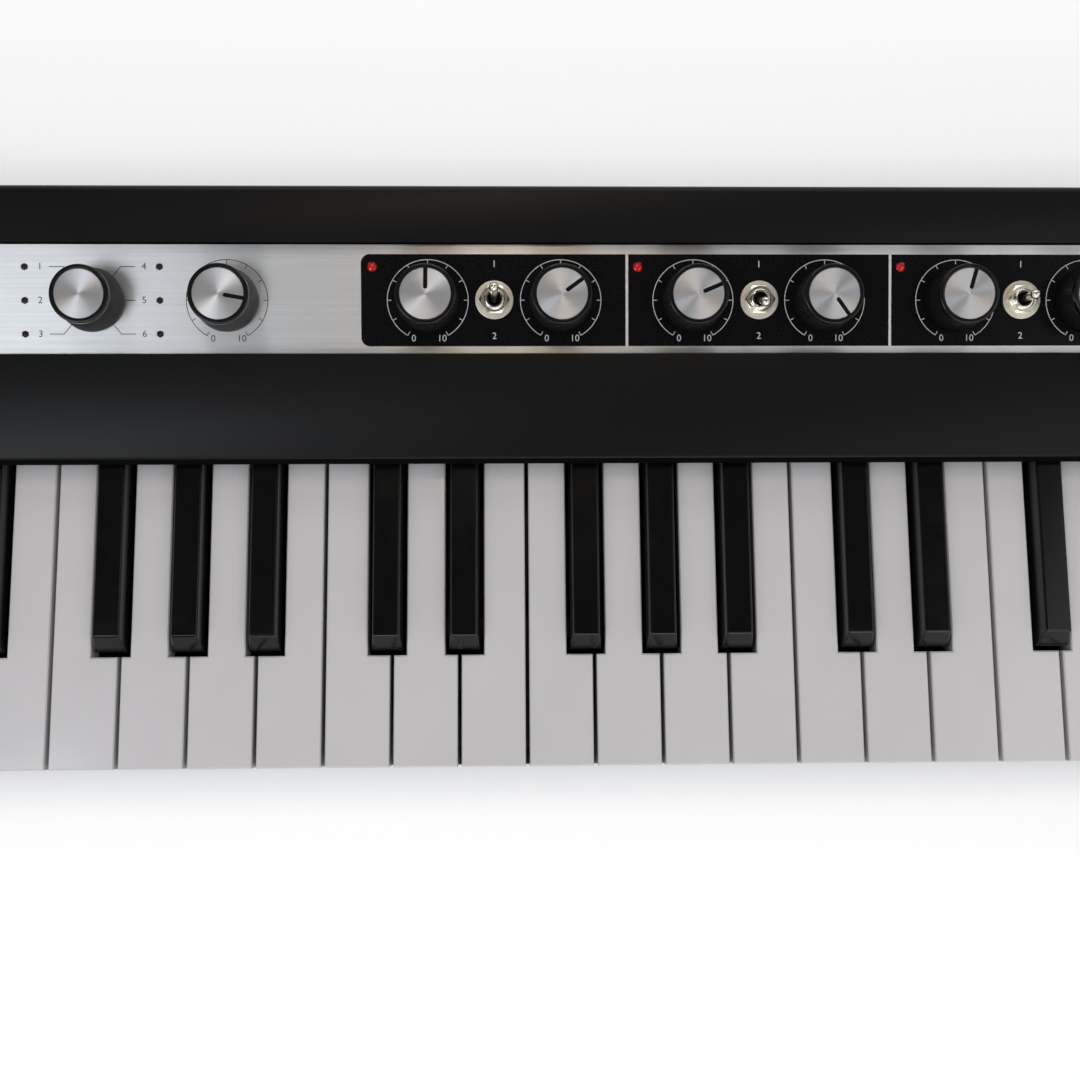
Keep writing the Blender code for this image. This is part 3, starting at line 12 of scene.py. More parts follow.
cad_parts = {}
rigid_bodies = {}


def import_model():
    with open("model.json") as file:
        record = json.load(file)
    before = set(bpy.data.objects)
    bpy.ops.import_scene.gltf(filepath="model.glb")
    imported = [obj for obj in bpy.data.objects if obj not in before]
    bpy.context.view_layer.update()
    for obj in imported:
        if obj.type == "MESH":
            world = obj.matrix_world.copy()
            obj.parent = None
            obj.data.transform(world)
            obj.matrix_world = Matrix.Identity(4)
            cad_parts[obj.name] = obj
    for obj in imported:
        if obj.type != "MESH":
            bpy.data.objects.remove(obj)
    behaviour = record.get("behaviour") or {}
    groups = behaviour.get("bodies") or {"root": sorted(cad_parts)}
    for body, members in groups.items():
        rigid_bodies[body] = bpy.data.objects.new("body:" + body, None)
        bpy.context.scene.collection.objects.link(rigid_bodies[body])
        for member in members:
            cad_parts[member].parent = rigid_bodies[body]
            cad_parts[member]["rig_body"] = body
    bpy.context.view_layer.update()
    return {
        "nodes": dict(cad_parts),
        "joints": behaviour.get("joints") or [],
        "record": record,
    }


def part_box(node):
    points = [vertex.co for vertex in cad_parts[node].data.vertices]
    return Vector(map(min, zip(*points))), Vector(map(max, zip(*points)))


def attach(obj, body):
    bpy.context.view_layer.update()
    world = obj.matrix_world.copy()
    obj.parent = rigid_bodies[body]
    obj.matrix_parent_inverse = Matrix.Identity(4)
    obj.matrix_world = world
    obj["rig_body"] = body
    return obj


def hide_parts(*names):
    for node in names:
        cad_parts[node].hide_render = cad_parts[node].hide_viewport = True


bl_info = {
    "name": "Mini keyboard looks",
    "version": (1, 0, 0),
    "blender": (4, 5, 0),
    "location": "View3D > Sidebar > Keyboard",
    "description": "Dresses the packed mini keyboard with rounded, textured pieces and lights it",
    "category": "Object",
}

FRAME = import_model()
JOINTS = {joint["child"]: joint for joint in FRAME["joints"]}
NODES = FRAME["nodes"]
BODY = "case"
MM = 0.001

WHITE_KEYS = sorted(name for name in NODES if name.startswith("white_key"))
BLACK_KEYS = sorted(name for name in NODES if name.startswith("black_key"))
KNOBS = sorted(name for name in NODES if name.endswith("_knob"))
LEVERS = sorted(name for name in NODES if name.endswith("_lever"))
SPEAKERS = ("left_speaker", "right_speaker")
SELECTOR = "type_knob"

# The strip's plane, from a knob's axis: x along the case, v up the slope, n out of it
_PIVOT = Vector(JOINTS[SELECTOR]["pos_m"])
STRIP_NORMAL = -Vector(JOINTS[SELECTOR]["axis"]).normalized()
STRIP_TILT = math.atan2(-STRIP_NORMAL.y, STRIP_NORMAL.z)
STRIP = Matrix.Translation((0, _PIVOT.y, _PIVOT.z)) @ Matrix.Rotation(STRIP_TILT, 4, "X")
FACE = -0.4 * MM  # the strip's face under the knobs' bases
PAINT = 0.06 * MM  # the black sections' thickness over the face
ON_PAINT = FACE + 0.07 * MM  # where a print on a section lies
GRILLE_FACE = 0.9 * MM  # the speakers' faces, just under the slope

# What stands on the strip
KNOB_X = {name: JOINTS[name]["pos_m"][0] for name in KNOBS}
LEVER_X = {name: JOINTS[name]["pos_m"][0] for name in LEVERS}
STEP = (KNOB_X["drive_knob"] - KNOB_X["type_knob"]) / 2
SECTION_EDGES = [share * STEP for share in (-3.5, 0.5, 4.5, 8.5, 10.45)]
LAMP_XS = tuple(edge + 3.35 * MM for edge in SECTION_EDGES[:3])
LAMP_V = 10.15 * MM
KNOB_TOP = 11.7 * MM
RIM_HEIGHT = 2.2 * MM
RIM_RADIUS = 8.98 * MM
GRIP_RADIUS = 8.85 * MM

# The keys
WHITE_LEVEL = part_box(WHITE_KEYS[0])[1].z
KEY_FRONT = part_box(WHITE_KEYS[0])[0].y
KEYS_HALF = -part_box(WHITE_KEYS[0])[0].x  # half the width of the row of keys
SLIT_EASE = 0.14 * MM  # a white key's side is drawn in by this much
BLACK_SETBACK = 1.0 * MM  # dark gap in front of a black key, more than the solid's
BLACK_BASE_HALF = 4.85 * MM
BLACK_TOP_HALF = 3.95 * MM
BLACK_SLOPE = 4.3 * MM
BLACK_SINK = 0.6 * MM  # a black top starts this far under the white level
BLACK_HOLLOW = 1.3 * MM  # and is hollow up to this far over it, as the solid is
BLACK_HOLLOW_HALF = 3.85 * MM
RAISED_END = KEY_FRONT + 98.4 * MM  # the black keys' tops run on under the lip
HAIR = 0.01 * MM  # keeps two faces from lying in one plane


# Settings that a user would change


def length(name, description, millimetres):
    return FloatProperty(name=name, description=description, default=millimetres * MM, subtype="DISTANCE")


def swatch(name, description, default):
    return FloatVectorProperty(name=name, description=description, default=default, size=3, subtype="COLOR")


def power(name, description, default):
    return FloatProperty(name=name, description=description, default=default, unit="POWER")


class KnobSettings(PropertyGroup):
    ribs: IntProperty(name="Ribs", description="Fine grip ribs round a knob", default=100, min=12, max=180)
    rib_depth: length("Rib depth", "Depth of a grip rib", 0.24)
    cap_radius: length("Cap radius", "Radius of the spun metal cap", 7.55)
    slot_width: length("Pointer width", "Width of the pointer slot", 1.3)


class CaseSettings(PropertyGroup):
    edge: length("Case edge", "Rounding of the case's edges", 0.5)
    colour: swatch("Case colour", "Colour of the case", (0.0034, 0.0035, 0.0038))


class KeySettings(PropertyGroup):
    white_edge: length("White edge", "Rounding of a white key", 0.3)
    black_edge: length("Black edge", "Rounding of a black key", 0.6)
    white: swatch("White", "Colour of the white keys", (0.45, 0.437, 0.447))
    black: swatch("Black", "Colour of the black keys", (0.0015, 0.0015, 0.0016))


class PrintSettings(PropertyGroup):
    dial_radius: length("Dial radius", "Radius of a dial's printed arc", 12.3)
    line: length("Line width", "Width of the printed lines", 0.23)
    figure: length("Figure height", "Height of the printed figures", 2.1)


class StageSettings(PropertyGroup):
    floor: swatch("Floor", "Colour of the floor", (0.90, 0.90, 0.905))
    overhead: power("Overhead", "Power of the soft light overhead", 13.4)
    window: power("Window", "Power of the cool light on the left", 5.2)
    fill: power("Fill", "Power of a fill light", 6.5)
    spot: power("Warm light", "Power of the small warm light", 0.8)


# Finishes


def shaded(colour, share):
    """A colour made darker or lighter."""
    return tuple(min(1.0, c * share) for c in colour)


def add_node(tree, kind, attributes=None, **inputs):
    """A new node with its attributes, and its inputs linked or set."""
    node = tree.nodes.new(kind)
    for key, value in (attributes or {}).items():
        setattr(node, key, value)
    for key, value in inputs.items():
        socket = node.inputs[key.replace("_", " ")]
        if isinstance(value, bpy.types.NodeSocket):
            tree.links.new(value, socket)
        else:
            socket.default_value = value
    return node


class Finish:
    """A Principled material that is built up node by node."""

    def __init__(self, name, colour, roughness, metallic=0.0, **constants):
        self.material = bpy.data.materials.new(name)
        self.material.use_nodes = True
        self.tree = self.material.node_tree
        self.shader = self.tree.nodes["Principled BSDF"]
        self.shader.inputs["Base Color"].default_value = (*colour, 1)
        self.shader.inputs["Roughness"].default_value = roughness
        self.shader.inputs["Metallic"].default_value = metallic
        for socket, value in constants.items():
            self.shader.inputs[socket.replace("_", " ")].default_value = value
        self.material.diffuse_color = (*colour, 1)

    def add(self, kind, attributes=None, **inputs):
        return add_node(self.tree, kind, attributes, **inputs)

    def feed(self, value, socket):
        """Links a value to one of the shader's sockets."""
        self.tree.links.new(value, self.shader.inputs[socket])

    def place(self, scale=(1, 1, 1), turn=(0, 0, 0)):
        """Object coordinates, turned and stretched."""
        where = self.add("ShaderNodeTexCoord").outputs["Object"]
        return self.add("ShaderNodeMapping", Vector=where, Rotation=turn, Scale=scale).outputs["Vector"]

    def noise(self, vector, scale, detail=2.0, roughness=0.5):
        node = self.add("ShaderNodeTexNoise", Vector=vector, Scale=scale, Detail=detail, Roughness=roughness)
        return node.outputs["Fac"]

    def spread(self, value, low, high, start=0.3, end=0.7):
        """Turns start to end, by default what most of a noise lies between, into low to high."""
        ends = {"From_Min": start, "From_Max": end, "To_Min": low, "To_Max": high}
        return self.add("ShaderNodeMapRange", Value=value, **ends).outputs["Result"]

    def vary_roughness(self, value, low, high):
        self.feed(self.spread(value, low, high), "Roughness")

    def vary_colour(self, value, colour, dark, light):
        """Goes from the dark to the light share of a colour."""
        mix = self.add("ShaderNodeMix", {"data_type": "RGBA"})
        mix.inputs[6].default_value = (*shaded(colour, dark), 1)
        mix.inputs[7].default_value = (*shaded(colour, light), 1)
        self.tree.links.new(self.spread(value, 0.0, 1.0), mix.inputs["Factor"])
        self.feed(mix.outputs[2], "Base Color")

    def bump(self, height, millimetres, strength):
        node = self.add("ShaderNodeBump", Height=height, Distance=millimetres * MM, Strength=strength)
        self.feed(node.outputs["Normal"], "Normal")

    def along_uv(self):
        """Turns the highlight to follow the UV map of a brushed or turned piece."""
        tangent = self.add("ShaderNodeTangent", {"direction_type": "UV_MAP", "uv_map": "turned"})
        self.feed(tangent.outputs["Tangent"], "Tangent")


def grained(name, colour, roughness, base=1.0, tint=None, sheen=None, grain=None, **constants):
    """A finish with noise in its colour, its roughness and its surface, each from a noise's scale and detail.

    tint ends with the darkest and the lightest share of the colour, sheen with the lowest and the highest
    roughness, and grain with the noise's own roughness and the bump's millimetres and strength. base is the
    share that a viewport shows.
    """
    finish = Finish(name, shaded(colour, base), roughness, **constants)
    where = finish.place()
    if tint:
        finish.vary_colour(finish.noise(where, *tint[:2]), colour, *tint[2:])
    if sheen:
        finish.vary_roughness(finish.noise(where, *sheen[:2]), *sheen[2:])
    if grain:
        finish.bump(finish.noise(where, *grain[:3]), *grain[3:])
    return finish.material


def brushed_finish():
    """Aluminium brushed along the strip."""
    colour = (0.83, 0.83, 0.84)
    finish = Finish("brushed_strip", colour, 0.42, 1.0, Anisotropic=0.9)
    finish.along_uv()
    turn = (-STRIP_TILT, 0, 0)
    fine = finish.place((45, 3300, 60), turn)
    coarse = finish.place((22, 1500, 30), turn)
    streaks = finish.noise(fine, 1.0, 3, 0.55)
    finish.vary_colour(finish.noise(coarse, 1.0, 3), colour, 0.955, 1.04)
    finish.vary_roughness(streaks, 0.39, 0.47)
    finish.bump(streaks, 0.006, 0.35)
    return finish.material


def spun_finish():
    """Metal turned on a lathe: fine rings and a highlight in spokes. It reads the piece's own UV map."""
    colour = (0.74, 0.74, 0.75)
    finish = Finish("spun_cap", colour, 0.5, 1.0, Anisotropic=0.78, Anisotropic_Rotation=0.25)
    finish.along_uv()
    where = finish.add("ShaderNodeUVMap", {"uv_map": "turned"}).outputs["UV"]
    stretched = finish.add("ShaderNodeMapping", Vector=where, Scale=(3.0, 90.0, 1.0)).outputs["Vector"]
    rings = finish.noise(stretched, 1.0, 3, 0.6)
    finish.vary_colour(rings, colour, 0.93, 1.05)
    finish.vary_roughness(rings, 0.46, 0.53)
    finish.bump(rings, 0.008, 0.35)
    return finish.material


def nickel(name, low, high):
    return dict(
        name=name, colour=(0.90, 0.85, 0.74), roughness=low, metallic=1.0,
        tint=(500, 3, 0.95, 1.03), sheen=(900, 3, low, high),
    )


def ink(name, colour):
    grains = {"tint": (2200, 2, 0.9, 1.08), "sheen": (900, 2, 0.45, 0.56)}
    return dict(name=name, colour=colour, roughness=0.5, **grains)


def metal(name, colour, low, high):
    return dict(
        name=name, colour=colour, roughness=low, metallic=1.0,
        tint=(500, 3, 0.85, 1.08), sheen=(1500, 3, low, high), grain=(3000, 2, 0.5, 0.01, 0.3),
    )


# What grained is given for each finish. The case's and the keys' colours are settings.
FINISHES = {
    "case": dict(
        name="case_matte_black", roughness=0.36, Specular_IOR_Level=0.18,
        tint=(900, 3, 0.94, 1.06), sheen=(1200, 3, 0.33, 0.39), grain=(4200, 2, 0.6, 0.02, 0.35),
    ),
    # Painted shade: a darker copy of the case's black, with next to no shine, on the front of the lip over the
    # keys, where shade falls
    "lip": dict(
        name="case_lip_black", roughness=0.9, Specular_IOR_Level=0.03,
        base=0.7, tint=(900, 3, 0.6, 0.8), grain=(4200, 2, 0.6, 0.02, 0.35),
    ),
    "white": dict(
        name="white_key_gloss", roughness=0.2, Coat_Weight=0.25, Coat_Roughness=0.08,
        Subsurface_Weight=0.08, Subsurface_Scale=0.8 * MM, Subsurface_Radius=(1.0, 0.8, 0.6),
        tint=(22, 2, 0.985, 1.015), sheen=(90, 4, 0.17, 0.25), grain=(140, 2, 0.5, 0.02, 0.25),
    ),
    "black": dict(
        name="black_key_gloss", roughness=0.16, Specular_IOR_Level=0.38,
        tint=(60, 2, 0.85, 1.2), sheen=(120, 4, 0.13, 0.2), grain=(3500, 2, 0.5, 0.01, 0.15),
    ),
    "knob": dict(
        name="knob_satin_black", colour=(0.006, 0.006, 0.0065), roughness=0.42, Specular_IOR_Level=0.4,
        tint=(300, 2, 0.85, 1.25), sheen=(900, 3, 0.36, 0.5), grain=(4200, 2, 0.5, 0.015, 0.3),
    ),
    "rim": dict(
        name="knob_rim_gloss", colour=(0.0028, 0.0028, 0.003), roughness=0.2, Specular_IOR_Level=0.4,
        tint=(300, 2, 0.85, 1.2), sheen=(700, 3, 0.17, 0.25),
    ),
    "section": dict(
        name="section_black_paint", colour=(0.0026, 0.0026, 0.0029), roughness=0.26, Specular_IOR_Level=0.1,
        tint=(180, 2, 0.88, 1.2), sheen=(1400, 3, 0.24, 0.3), grain=(3800, 2, 0.6, 0.012, 0.3),
    ),
    "lamp": dict(
        name="lamp_red_lens", colour=(0.34, 0.003, 0.003), roughness=0.1, sheen=(1500, 2, 0.1, 0.18),
        Coat_Weight=0.5, Coat_Roughness=0.05, Emission_Color=(1.0, 0.01, 0.008, 1), Emission_Strength=0.07,
    ),
    "dot": dict(
        name="lamp_dark_lens", colour=(0.014, 0.006, 0.007), roughness=0.3, Specular_IOR_Level=0.3,
        tint=(1200, 2, 0.7, 1.4), sheen=(1500, 2, 0.25, 0.36),
    ),
    "board": dict(
        name="circuit_board", colour=(0.012, 0.055, 0.025), roughness=0.4,
        tint=(420, 4, 0.7, 1.5), sheen=(600, 2, 0.34, 0.5), grain=(900, 3, 0.5, 0.05, 0.3),
    ),
    "rubber": dict(
        name="foot_rubber", colour=(0.02, 0.02, 0.021), roughness=0.8,
        tint=(400, 3, 0.8, 1.3), sheen=(900, 2, 0.72, 0.88), grain=(3000, 2, 0.5, 0.03, 0.4),
    ),
    "nickel": nickel("nickel_plate", 0.2, 0.28),
    "washer": nickel("nickel_washer", 0.42, 0.52),
    "light_print": ink("print_light_grey", (0.40, 0.40, 0.41)),
    "dark_print": ink("print_black", (0.015, 0.015, 0.016)),
    "grille": metal("grille_black_steel", (0.03, 0.03, 0.032), 0.38, 0.52),
    "screw": metal("screw_black_zinc", (0.08, 0.08, 0.085), 0.3, 0.42),
    "contact": metal("contact_nickel", (0.6, 0.58, 0.54), 0.22, 0.34),
}
SPECIAL = {"strip": brushed_finish, "spun": spun_finish}
MADE = {}


def finish_of(name):
    """Each finish is made once, when a piece first needs it."""
    if name not in MADE:
        case, keys = bpy.context.scene.keyboard_case, bpy.context.scene.keyboard_keys
        chosen = {"case": case.colour, "lip": case.colour, "white": keys.white, "black": keys.black}
        if name in SPECIAL:
            MADE[name] = SPECIAL[name]()
        elif name in chosen:
            MADE[name] = grained(colour=tuple(chosen[name]), **FINISHES[name])
        else:
            MADE[name] = grained(**FINISHES[name])
    return MADE[name]


# Making pieces


def wear(obj, name):
    obj.data.materials.clear()
    obj.data.materials.append(finish_of(name))


def mesh_of(name, bm):
    """Writes a bmesh as a mesh and frees it."""
    mesh = bpy.data.meshes.new(name)
    bm.to_mesh(mesh)
    bm.free()
    return mesh


def shown(name, data):
    """A new object in the scene."""
    obj = bpy.data.objects.new(name, data)
    bpy.context.scene.collection.objects.link(obj)
    return obj


def finished(name, bm, finish, body=BODY, place=None, stands_for=(), sharp=35, tidy=True):
    """Writes a bmesh as a piece at the origin that rides on a body."""
    if place is not None:
        bmesh.ops.transform(bm, matrix=place, verts=bm.verts)
    if tidy:
        bmesh.ops.remove_doubles(bm, verts=bm.verts, dist=1e-7)
        bmesh.ops.recalc_face_normals(bm, faces=bm.faces)
    mesh = mesh_of(name, bm)
    mesh.shade_smooth()
    mesh.set_sharp_from_angle(angle=math.radians(sharp))
    obj = shown(name, mesh)
    wear(obj, finish)
    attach(obj, body)
    if stands_for:
        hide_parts(*stands_for)
    return obj


def soften(obj, width, segments=2, angle=32, limit="ANGLE"):
    """Rounds a piece's edges with a live bevel."""
    bevel = obj.modifiers.new("edges", "BEVEL")
    bevel.width = width
    bevel.segments = segments
    bevel.limit_method = limit
    bevel.angle_limit = math.radians(angle)
    bevel.harden_normals = True


def copy_of(node):
    """A CAD piece's mesh with its doubles merged and its flat faces joined."""
    bm = bmesh.new()
    bm.from_mesh(NODES[node].data)
    bmesh.ops.remove_doubles(bm, verts=bm.verts, dist=2e-6)
    bmesh.ops.dissolve_limit(bm, angle_limit=math.radians(0.6), verts=bm.verts, edges=bm.edges)
    for layer in list(bm.loops.layers.uv.values()):
        bm.loops.layers.uv.remove(layer)
    return bm


def rounded(node, name, width, finish, segments=3, angle=32, shape=None):
    """A copy of a CAD piece with its sharp edges rounded. It stands for that piece."""
    bm = copy_of(node)
    if shape:
        shape(bm)
    body = NODES[node]["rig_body"]
    obj = finished(name, bm, finish, body, stands_for=(node,), sharp=angle, tidy=False)
    soften(obj, width, segments, angle)
    return obj


def sliced(bm, place, normal):
    """Cuts away what lies beyond a plane and closes the cut."""
    plane = {"plane_co": place, "plane_no": normal, "clear_outer": True, "dist": 1e-7}
    made = bmesh.ops.bisect_plane(bm, geom=[*bm.verts, *bm.edges, *bm.faces], **plane)
    rim = [item for item in made["geom_cut"] if isinstance(item, bmesh.types.BMEdge)]
    bmesh.ops.triangle_fill(bm, edges=rim, use_beauty=True)


def brush(bm):
    """A UV map whose first axis runs up the strip, across the brushing."""
    layer = bm.loops.layers.uv.new("turned")
    to_strip = STRIP.inverted()
    for face in bm.faces:
        for loop in face.loops:
            point = to_strip @ loop.vert.co
            loop[layer].uv = (point.y / (40 * MM) + 0.5, point.x / (400 * MM) + 0.5)


def spun(profile, steps):
    """A bmesh from a profile of (radius, height) points, spun about Z."""
    bm = bmesh.new()
    verts = [bm.verts.new((radius, 0, height)) for radius, height in profile]
    geom = verts + [bm.edges.new(pair) for pair in zip(verts, verts[1:])]
    bmesh.ops.spin(bm, geom=geom, axis=(0, 0, 1), angle=math.tau, steps=steps, use_merge=True)
    bmesh.ops.remove_doubles(bm, verts=bm.verts, dist=1e-7)
    return bm


def rounding(centre, radius, start, end, steps):
    """Points on a circle, angles in degrees."""
    turns = [math.radians(start + (end - start) * i / steps) for i in range(steps + 1)]
    return [(centre[0] + radius * math.cos(a), centre[1] + radius * math.sin(a)) for a in turns]


def add_box(bm, low, high):
    """Adds a box between two corners."""
    low, high = Vector(low), Vector(high)
    bmesh.ops.create_cube(bm, size=1, matrix=Matrix.LocRotScale((low + high) / 2, None, high - low))


def add_post(bm, radius, depth, segments, place=Matrix()):
    """Adds a closed bar about a place's Z axis."""
    size = {"segments": segments, "radius1": radius, "radius2": radius, "depth": depth}
    bmesh.ops.create_cone(bm, cap_ends=True, matrix=place, **size)


def add_rectangle(bm, width, height, place):
    """Adds a flat rectangle."""
    size = Matrix.Diagonal((width, height, 1, 1))
    bmesh.ops.create_grid(bm, x_segments=1, y_segments=1, size=0.5, matrix=place @ size)


def block(low, high, round_by=0.0, segments=2):
    """A box between two corners, with all its edges rounded."""
    bm = bmesh.new()
    add_box(bm, low, high)
    if round_by:
        bevelled(bm, list(bm.edges), round_by, segments)
    return bm


def bevelled(bm, edges, offset, segments):
    flags = {"affect": "EDGES", "offset_type": "OFFSET", "clamp_overlap": True, "material": -1}
    bmesh.ops.bevel(bm, geom=edges, offset=offset, segments=segments, profile=0.5, **flags)


def carved(obj, operation, tool_bm, place=Matrix()):
    """Applies a Boolean with a bmesh, in its place, to a piece."""
    bmesh.ops.transform(tool_bm, matrix=place, verts=tool_bm.verts)
    bmesh.ops.recalc_face_normals(tool_bm, faces=tool_bm.faces)
    mesh = mesh_of("tool", tool_bm)
    tool = shown("tool", mesh)
    modifier = obj.modifiers.new("carve", "BOOLEAN")
    modifier.operation = operation
    modifier.solver = "EXACT"
    modifier.object = tool
    bpy.context.view_layer.update()
    graph = bpy.context.evaluated_depsgraph_get()
    made = bpy.data.meshes.new_from_object(obj.evaluated_get(graph))
    obj.modifiers.remove(modifier)
    old = obj.data
    obj.data = made
    made.name = old.name
    bpy.data.meshes.remove(old)
    bpy.data.objects.remove(tool)
    bpy.data.meshes.remove(mesh)


def on_strip(x, v=0.0, n=0.0, turn=0.0):
    """A place on the strip, turned clockwise as seen by the player."""
    return STRIP @ Matrix.Translation((x, v, n)) @ Matrix.Rotation(-turn, 4, "Z")


def from_middle(name):
    """How far a knob or a lever at rest stands back from the middle of its joint's range."""
    low, high = JOINTS[name]["range_deg"]
    return -math.radians(low + high) / 2


# Operators


class KEYBOARD_OT_keys(Operator):
    """White and black keys with rounded, glossy tops"""

    bl_idname = "keyboard.keys"
    bl_label = "Keys"

    def execute(self, context):
        keys = context.scene.keyboard_keys
        for name in WHITE_KEYS:
            top = name.replace("key", "key_top")
            rounded(name, top, keys.white_edge, "white", shape=self.slimmed)
        for name in BLACK_KEYS:
            low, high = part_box(name)
            x, front = (low.x + high.x) / 2, low.y + BLACK_SETBACK
            top, channel = (name.replace("key", part) for part in ("key_top", "key_channel"))
            made = self.moulded(x, front, high.z)
            made = finished(top, made, "black", name, stands_for=(name,))
            soften(made, keys.black_edge, 4, limit="WEIGHT")
            made = self.channel(name, x, front, high.x)
            finished(channel, made, "black", name, tidy=False)
        return {"FINISHED"}

    def slimmed(self, bm):
        """Draws a white key's sides in a little, so that the slits are as wide as the real ones."""
        moves = {}
        for face in bm.faces:
            if abs(face.normal.x) > 0.9:
                for vert in face.verts:
                    moves[vert] = -math.copysign(SLIT_EASE, face.normal.x)
        for vert, move in moves.items():
            vert.co.x += move

    def moulded(self, x, front, top):
        """A black key's raised top: drafted sides, a sloping front and a hollow for the frame's guide."""
        front_wall, back_wall = 2.6 * MM, 1.3 * MM
        bm = bmesh.new()
        bmesh.ops.create_cube(bm, size=1)
        under = min(bm.faces, key=lambda face: face.calc_center_median().z)
        for vert in bm.verts:
            upper, ahead = vert.co.z > 0, vert.co.y < 0
            half = BLACK_TOP_HALF if upper else BLACK_BASE_HALF
            y = (front + (BLACK_SLOPE if upper else 0.0)) if ahead else RAISED_END
            vert.co = (x + math.copysign(half, vert.co.x), y, top if upper else WHITE_LEVEL - BLACK_SINK)
        for level in (WHITE_LEVEL - BLACK_SINK, WHITE_LEVEL + BLACK_HOLLOW):
            bmesh.ops.inset_region(bm, faces=[under], thickness=0.1 * MM)
            middle = under.calc_center_median().y
            for vert in under.verts:
                y = front + front_wall if vert.co.y < middle else RAISED_END - back_wall
                vert.co = (x + math.copysign(BLACK_HOLLOW_HALF, vert.co.x - x), y, level)
        weight = bm.edges.layers.float.new("bevel_weight_edge")
        for edge in bm.edges:
            edge[weight] = float(max(vert.co.z for vert in edge.verts) > top - 1e-6)
        return bm

    def channel(self, node, x, front, side):
        """What is left of a black key under its top, drawn in to the top's width."""
        bm = copy_of(node)
        sliced(bm, (0, 0, WHITE_LEVEL - 0.3 * MM), (0, 0, 1))
        share = (BLACK_BASE_HALF + HAIR) / (side - x)
        for vert in bm.verts:
            vert.co.x = x + (vert.co.x - x) * share
            vert.co.y = max(vert.co.y, front - HAIR)
        return bm


class KEYBOARD_OT_case(Operator):
    """Upper and lower case and the battery cover"""

    bl_idname = "keyboard.case"
    bl_label = "Case"

    def execute(self, context):
        edge = context.scene.keyboard_case.edge
        top = rounded("upper_case", "case_top", edge, "case", angle=40)
        self.paint_lip_shade(top.data)
        rounded("lower_case", "case_base", edge, "case", angle=40)
        rounded("battery_cover", "battery_door", 0.25 * MM, "case")
        finished("kick_strip", self.kick(), "case")
        wear(NODES["key_frame"], "knob")
        self.board()
        wear(NODES["power_button"], "knob")
        for name in SPEAKERS:
            wear(NODES[name], "grille")
        return {"FINISHED"}

    def paint_lip_shade(self, mesh):
        """Gives the front of the lip over the keys a darker copy of the case's finish: painted shade where the
        lip hangs over the keys.
        """
        mesh.materials.append(finish_of("lip"))
        for polygon in mesh.polygons:
            x, y, z = polygon.center
            if abs(x) < KEYS_HALF and y > KEY_FRONT + 50 * MM and z > WHITE_LEVEL and polygon.normal.y < -0.5:
                polygon.material_index = 1

    def kick(self):
        """The rounded bar along the foot of the case, under the keys."""
        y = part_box("lower_case")[0].y
        return block((-KEYS_HALF, y + 0.15 * MM, 3.6 * MM), (KEYS_HALF, y + 3.1 * MM, 10.9 * MM), 0.6 * MM, 3)

    def board(self):
        """The circuit board, and its rear sockets in black plastic. The switches' hardware is made apart."""
        socket_depth = 20 * MM
        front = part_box("main_board")[1].y - socket_depth
        body = NODES["main_board"]["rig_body"]
        for name, finish, side in (("circuit_board", "board", 1), ("socket_row", "knob", -1)):
            bm = copy_of("main_board")
            sliced(bm, (0, front, 0), (0, side, 0))
            if side > 0:
                sliced(bm, STRIP @ Vector((0, 0, FACE - 0.1 * MM)), STRIP_NORMAL)
            stands_for = ("main_board",) if side > 0 else ()
            finished(name, bm, finish, body, stands_for=stands_for, sharp=30, tidy=False)


class KEYBOARD_OT_strip(Operator):
    """The brushed control strip with its four black painted sections"""

    bl_idname = "keyboard.strip"
    bl_label = "Control strip"

    def execute(self, context):
        rounded("control_panel", "brushed_plate", 0.18 * MM, "strip", segments=2, shape=brush)
        bright = 0.42 * MM  # half a bright line between two sections
        for number, (low, high) in enumerate(zip(SECTION_EDGES, SECTION_EDGES[1:]), 1):
            self.section(number, low if number == 1 else low + bright, high - bright)
        return {"FINISHED"}

    def section(self, number, low, high):
        """A painted area, rounded where it ends the row, and cut out round what passes through it."""
        half, corner = 13.95 * MM, 2.7 * MM
        bm = block((low, -half, FACE - 0.03 * MM), (high, half, FACE + PAINT))
        end = {1: low, 4: high}.get(number)
        if end is not None:
            upright = [e for e in bm.edges if abs(e.verts[0].co.z - e.verts[1].co.z) > PAINT / 2]
            bevelled(bm, [e for e in upright if abs(e.verts[0].co.x - end) < 1e-6], corner, 8)
        obj = finished(f"black_section_{number}", bm, "section", place=STRIP)
        places = [(x, 0, 3.95 * MM) for x in KNOB_X.values()]
        places += [(x, 0, 3.5 * MM) for x in LEVER_X.values()]
        places += [(x, LAMP_V, 1.5 * MM) for x in LAMP_XS]
        holes = bmesh.new()
        for x, v, radius in places:
            if low < x < high:
                add_post(holes, radius, 2 * MM, 32, on_strip(x, v, FACE))
        carved(obj, "DIFFERENCE", holes)


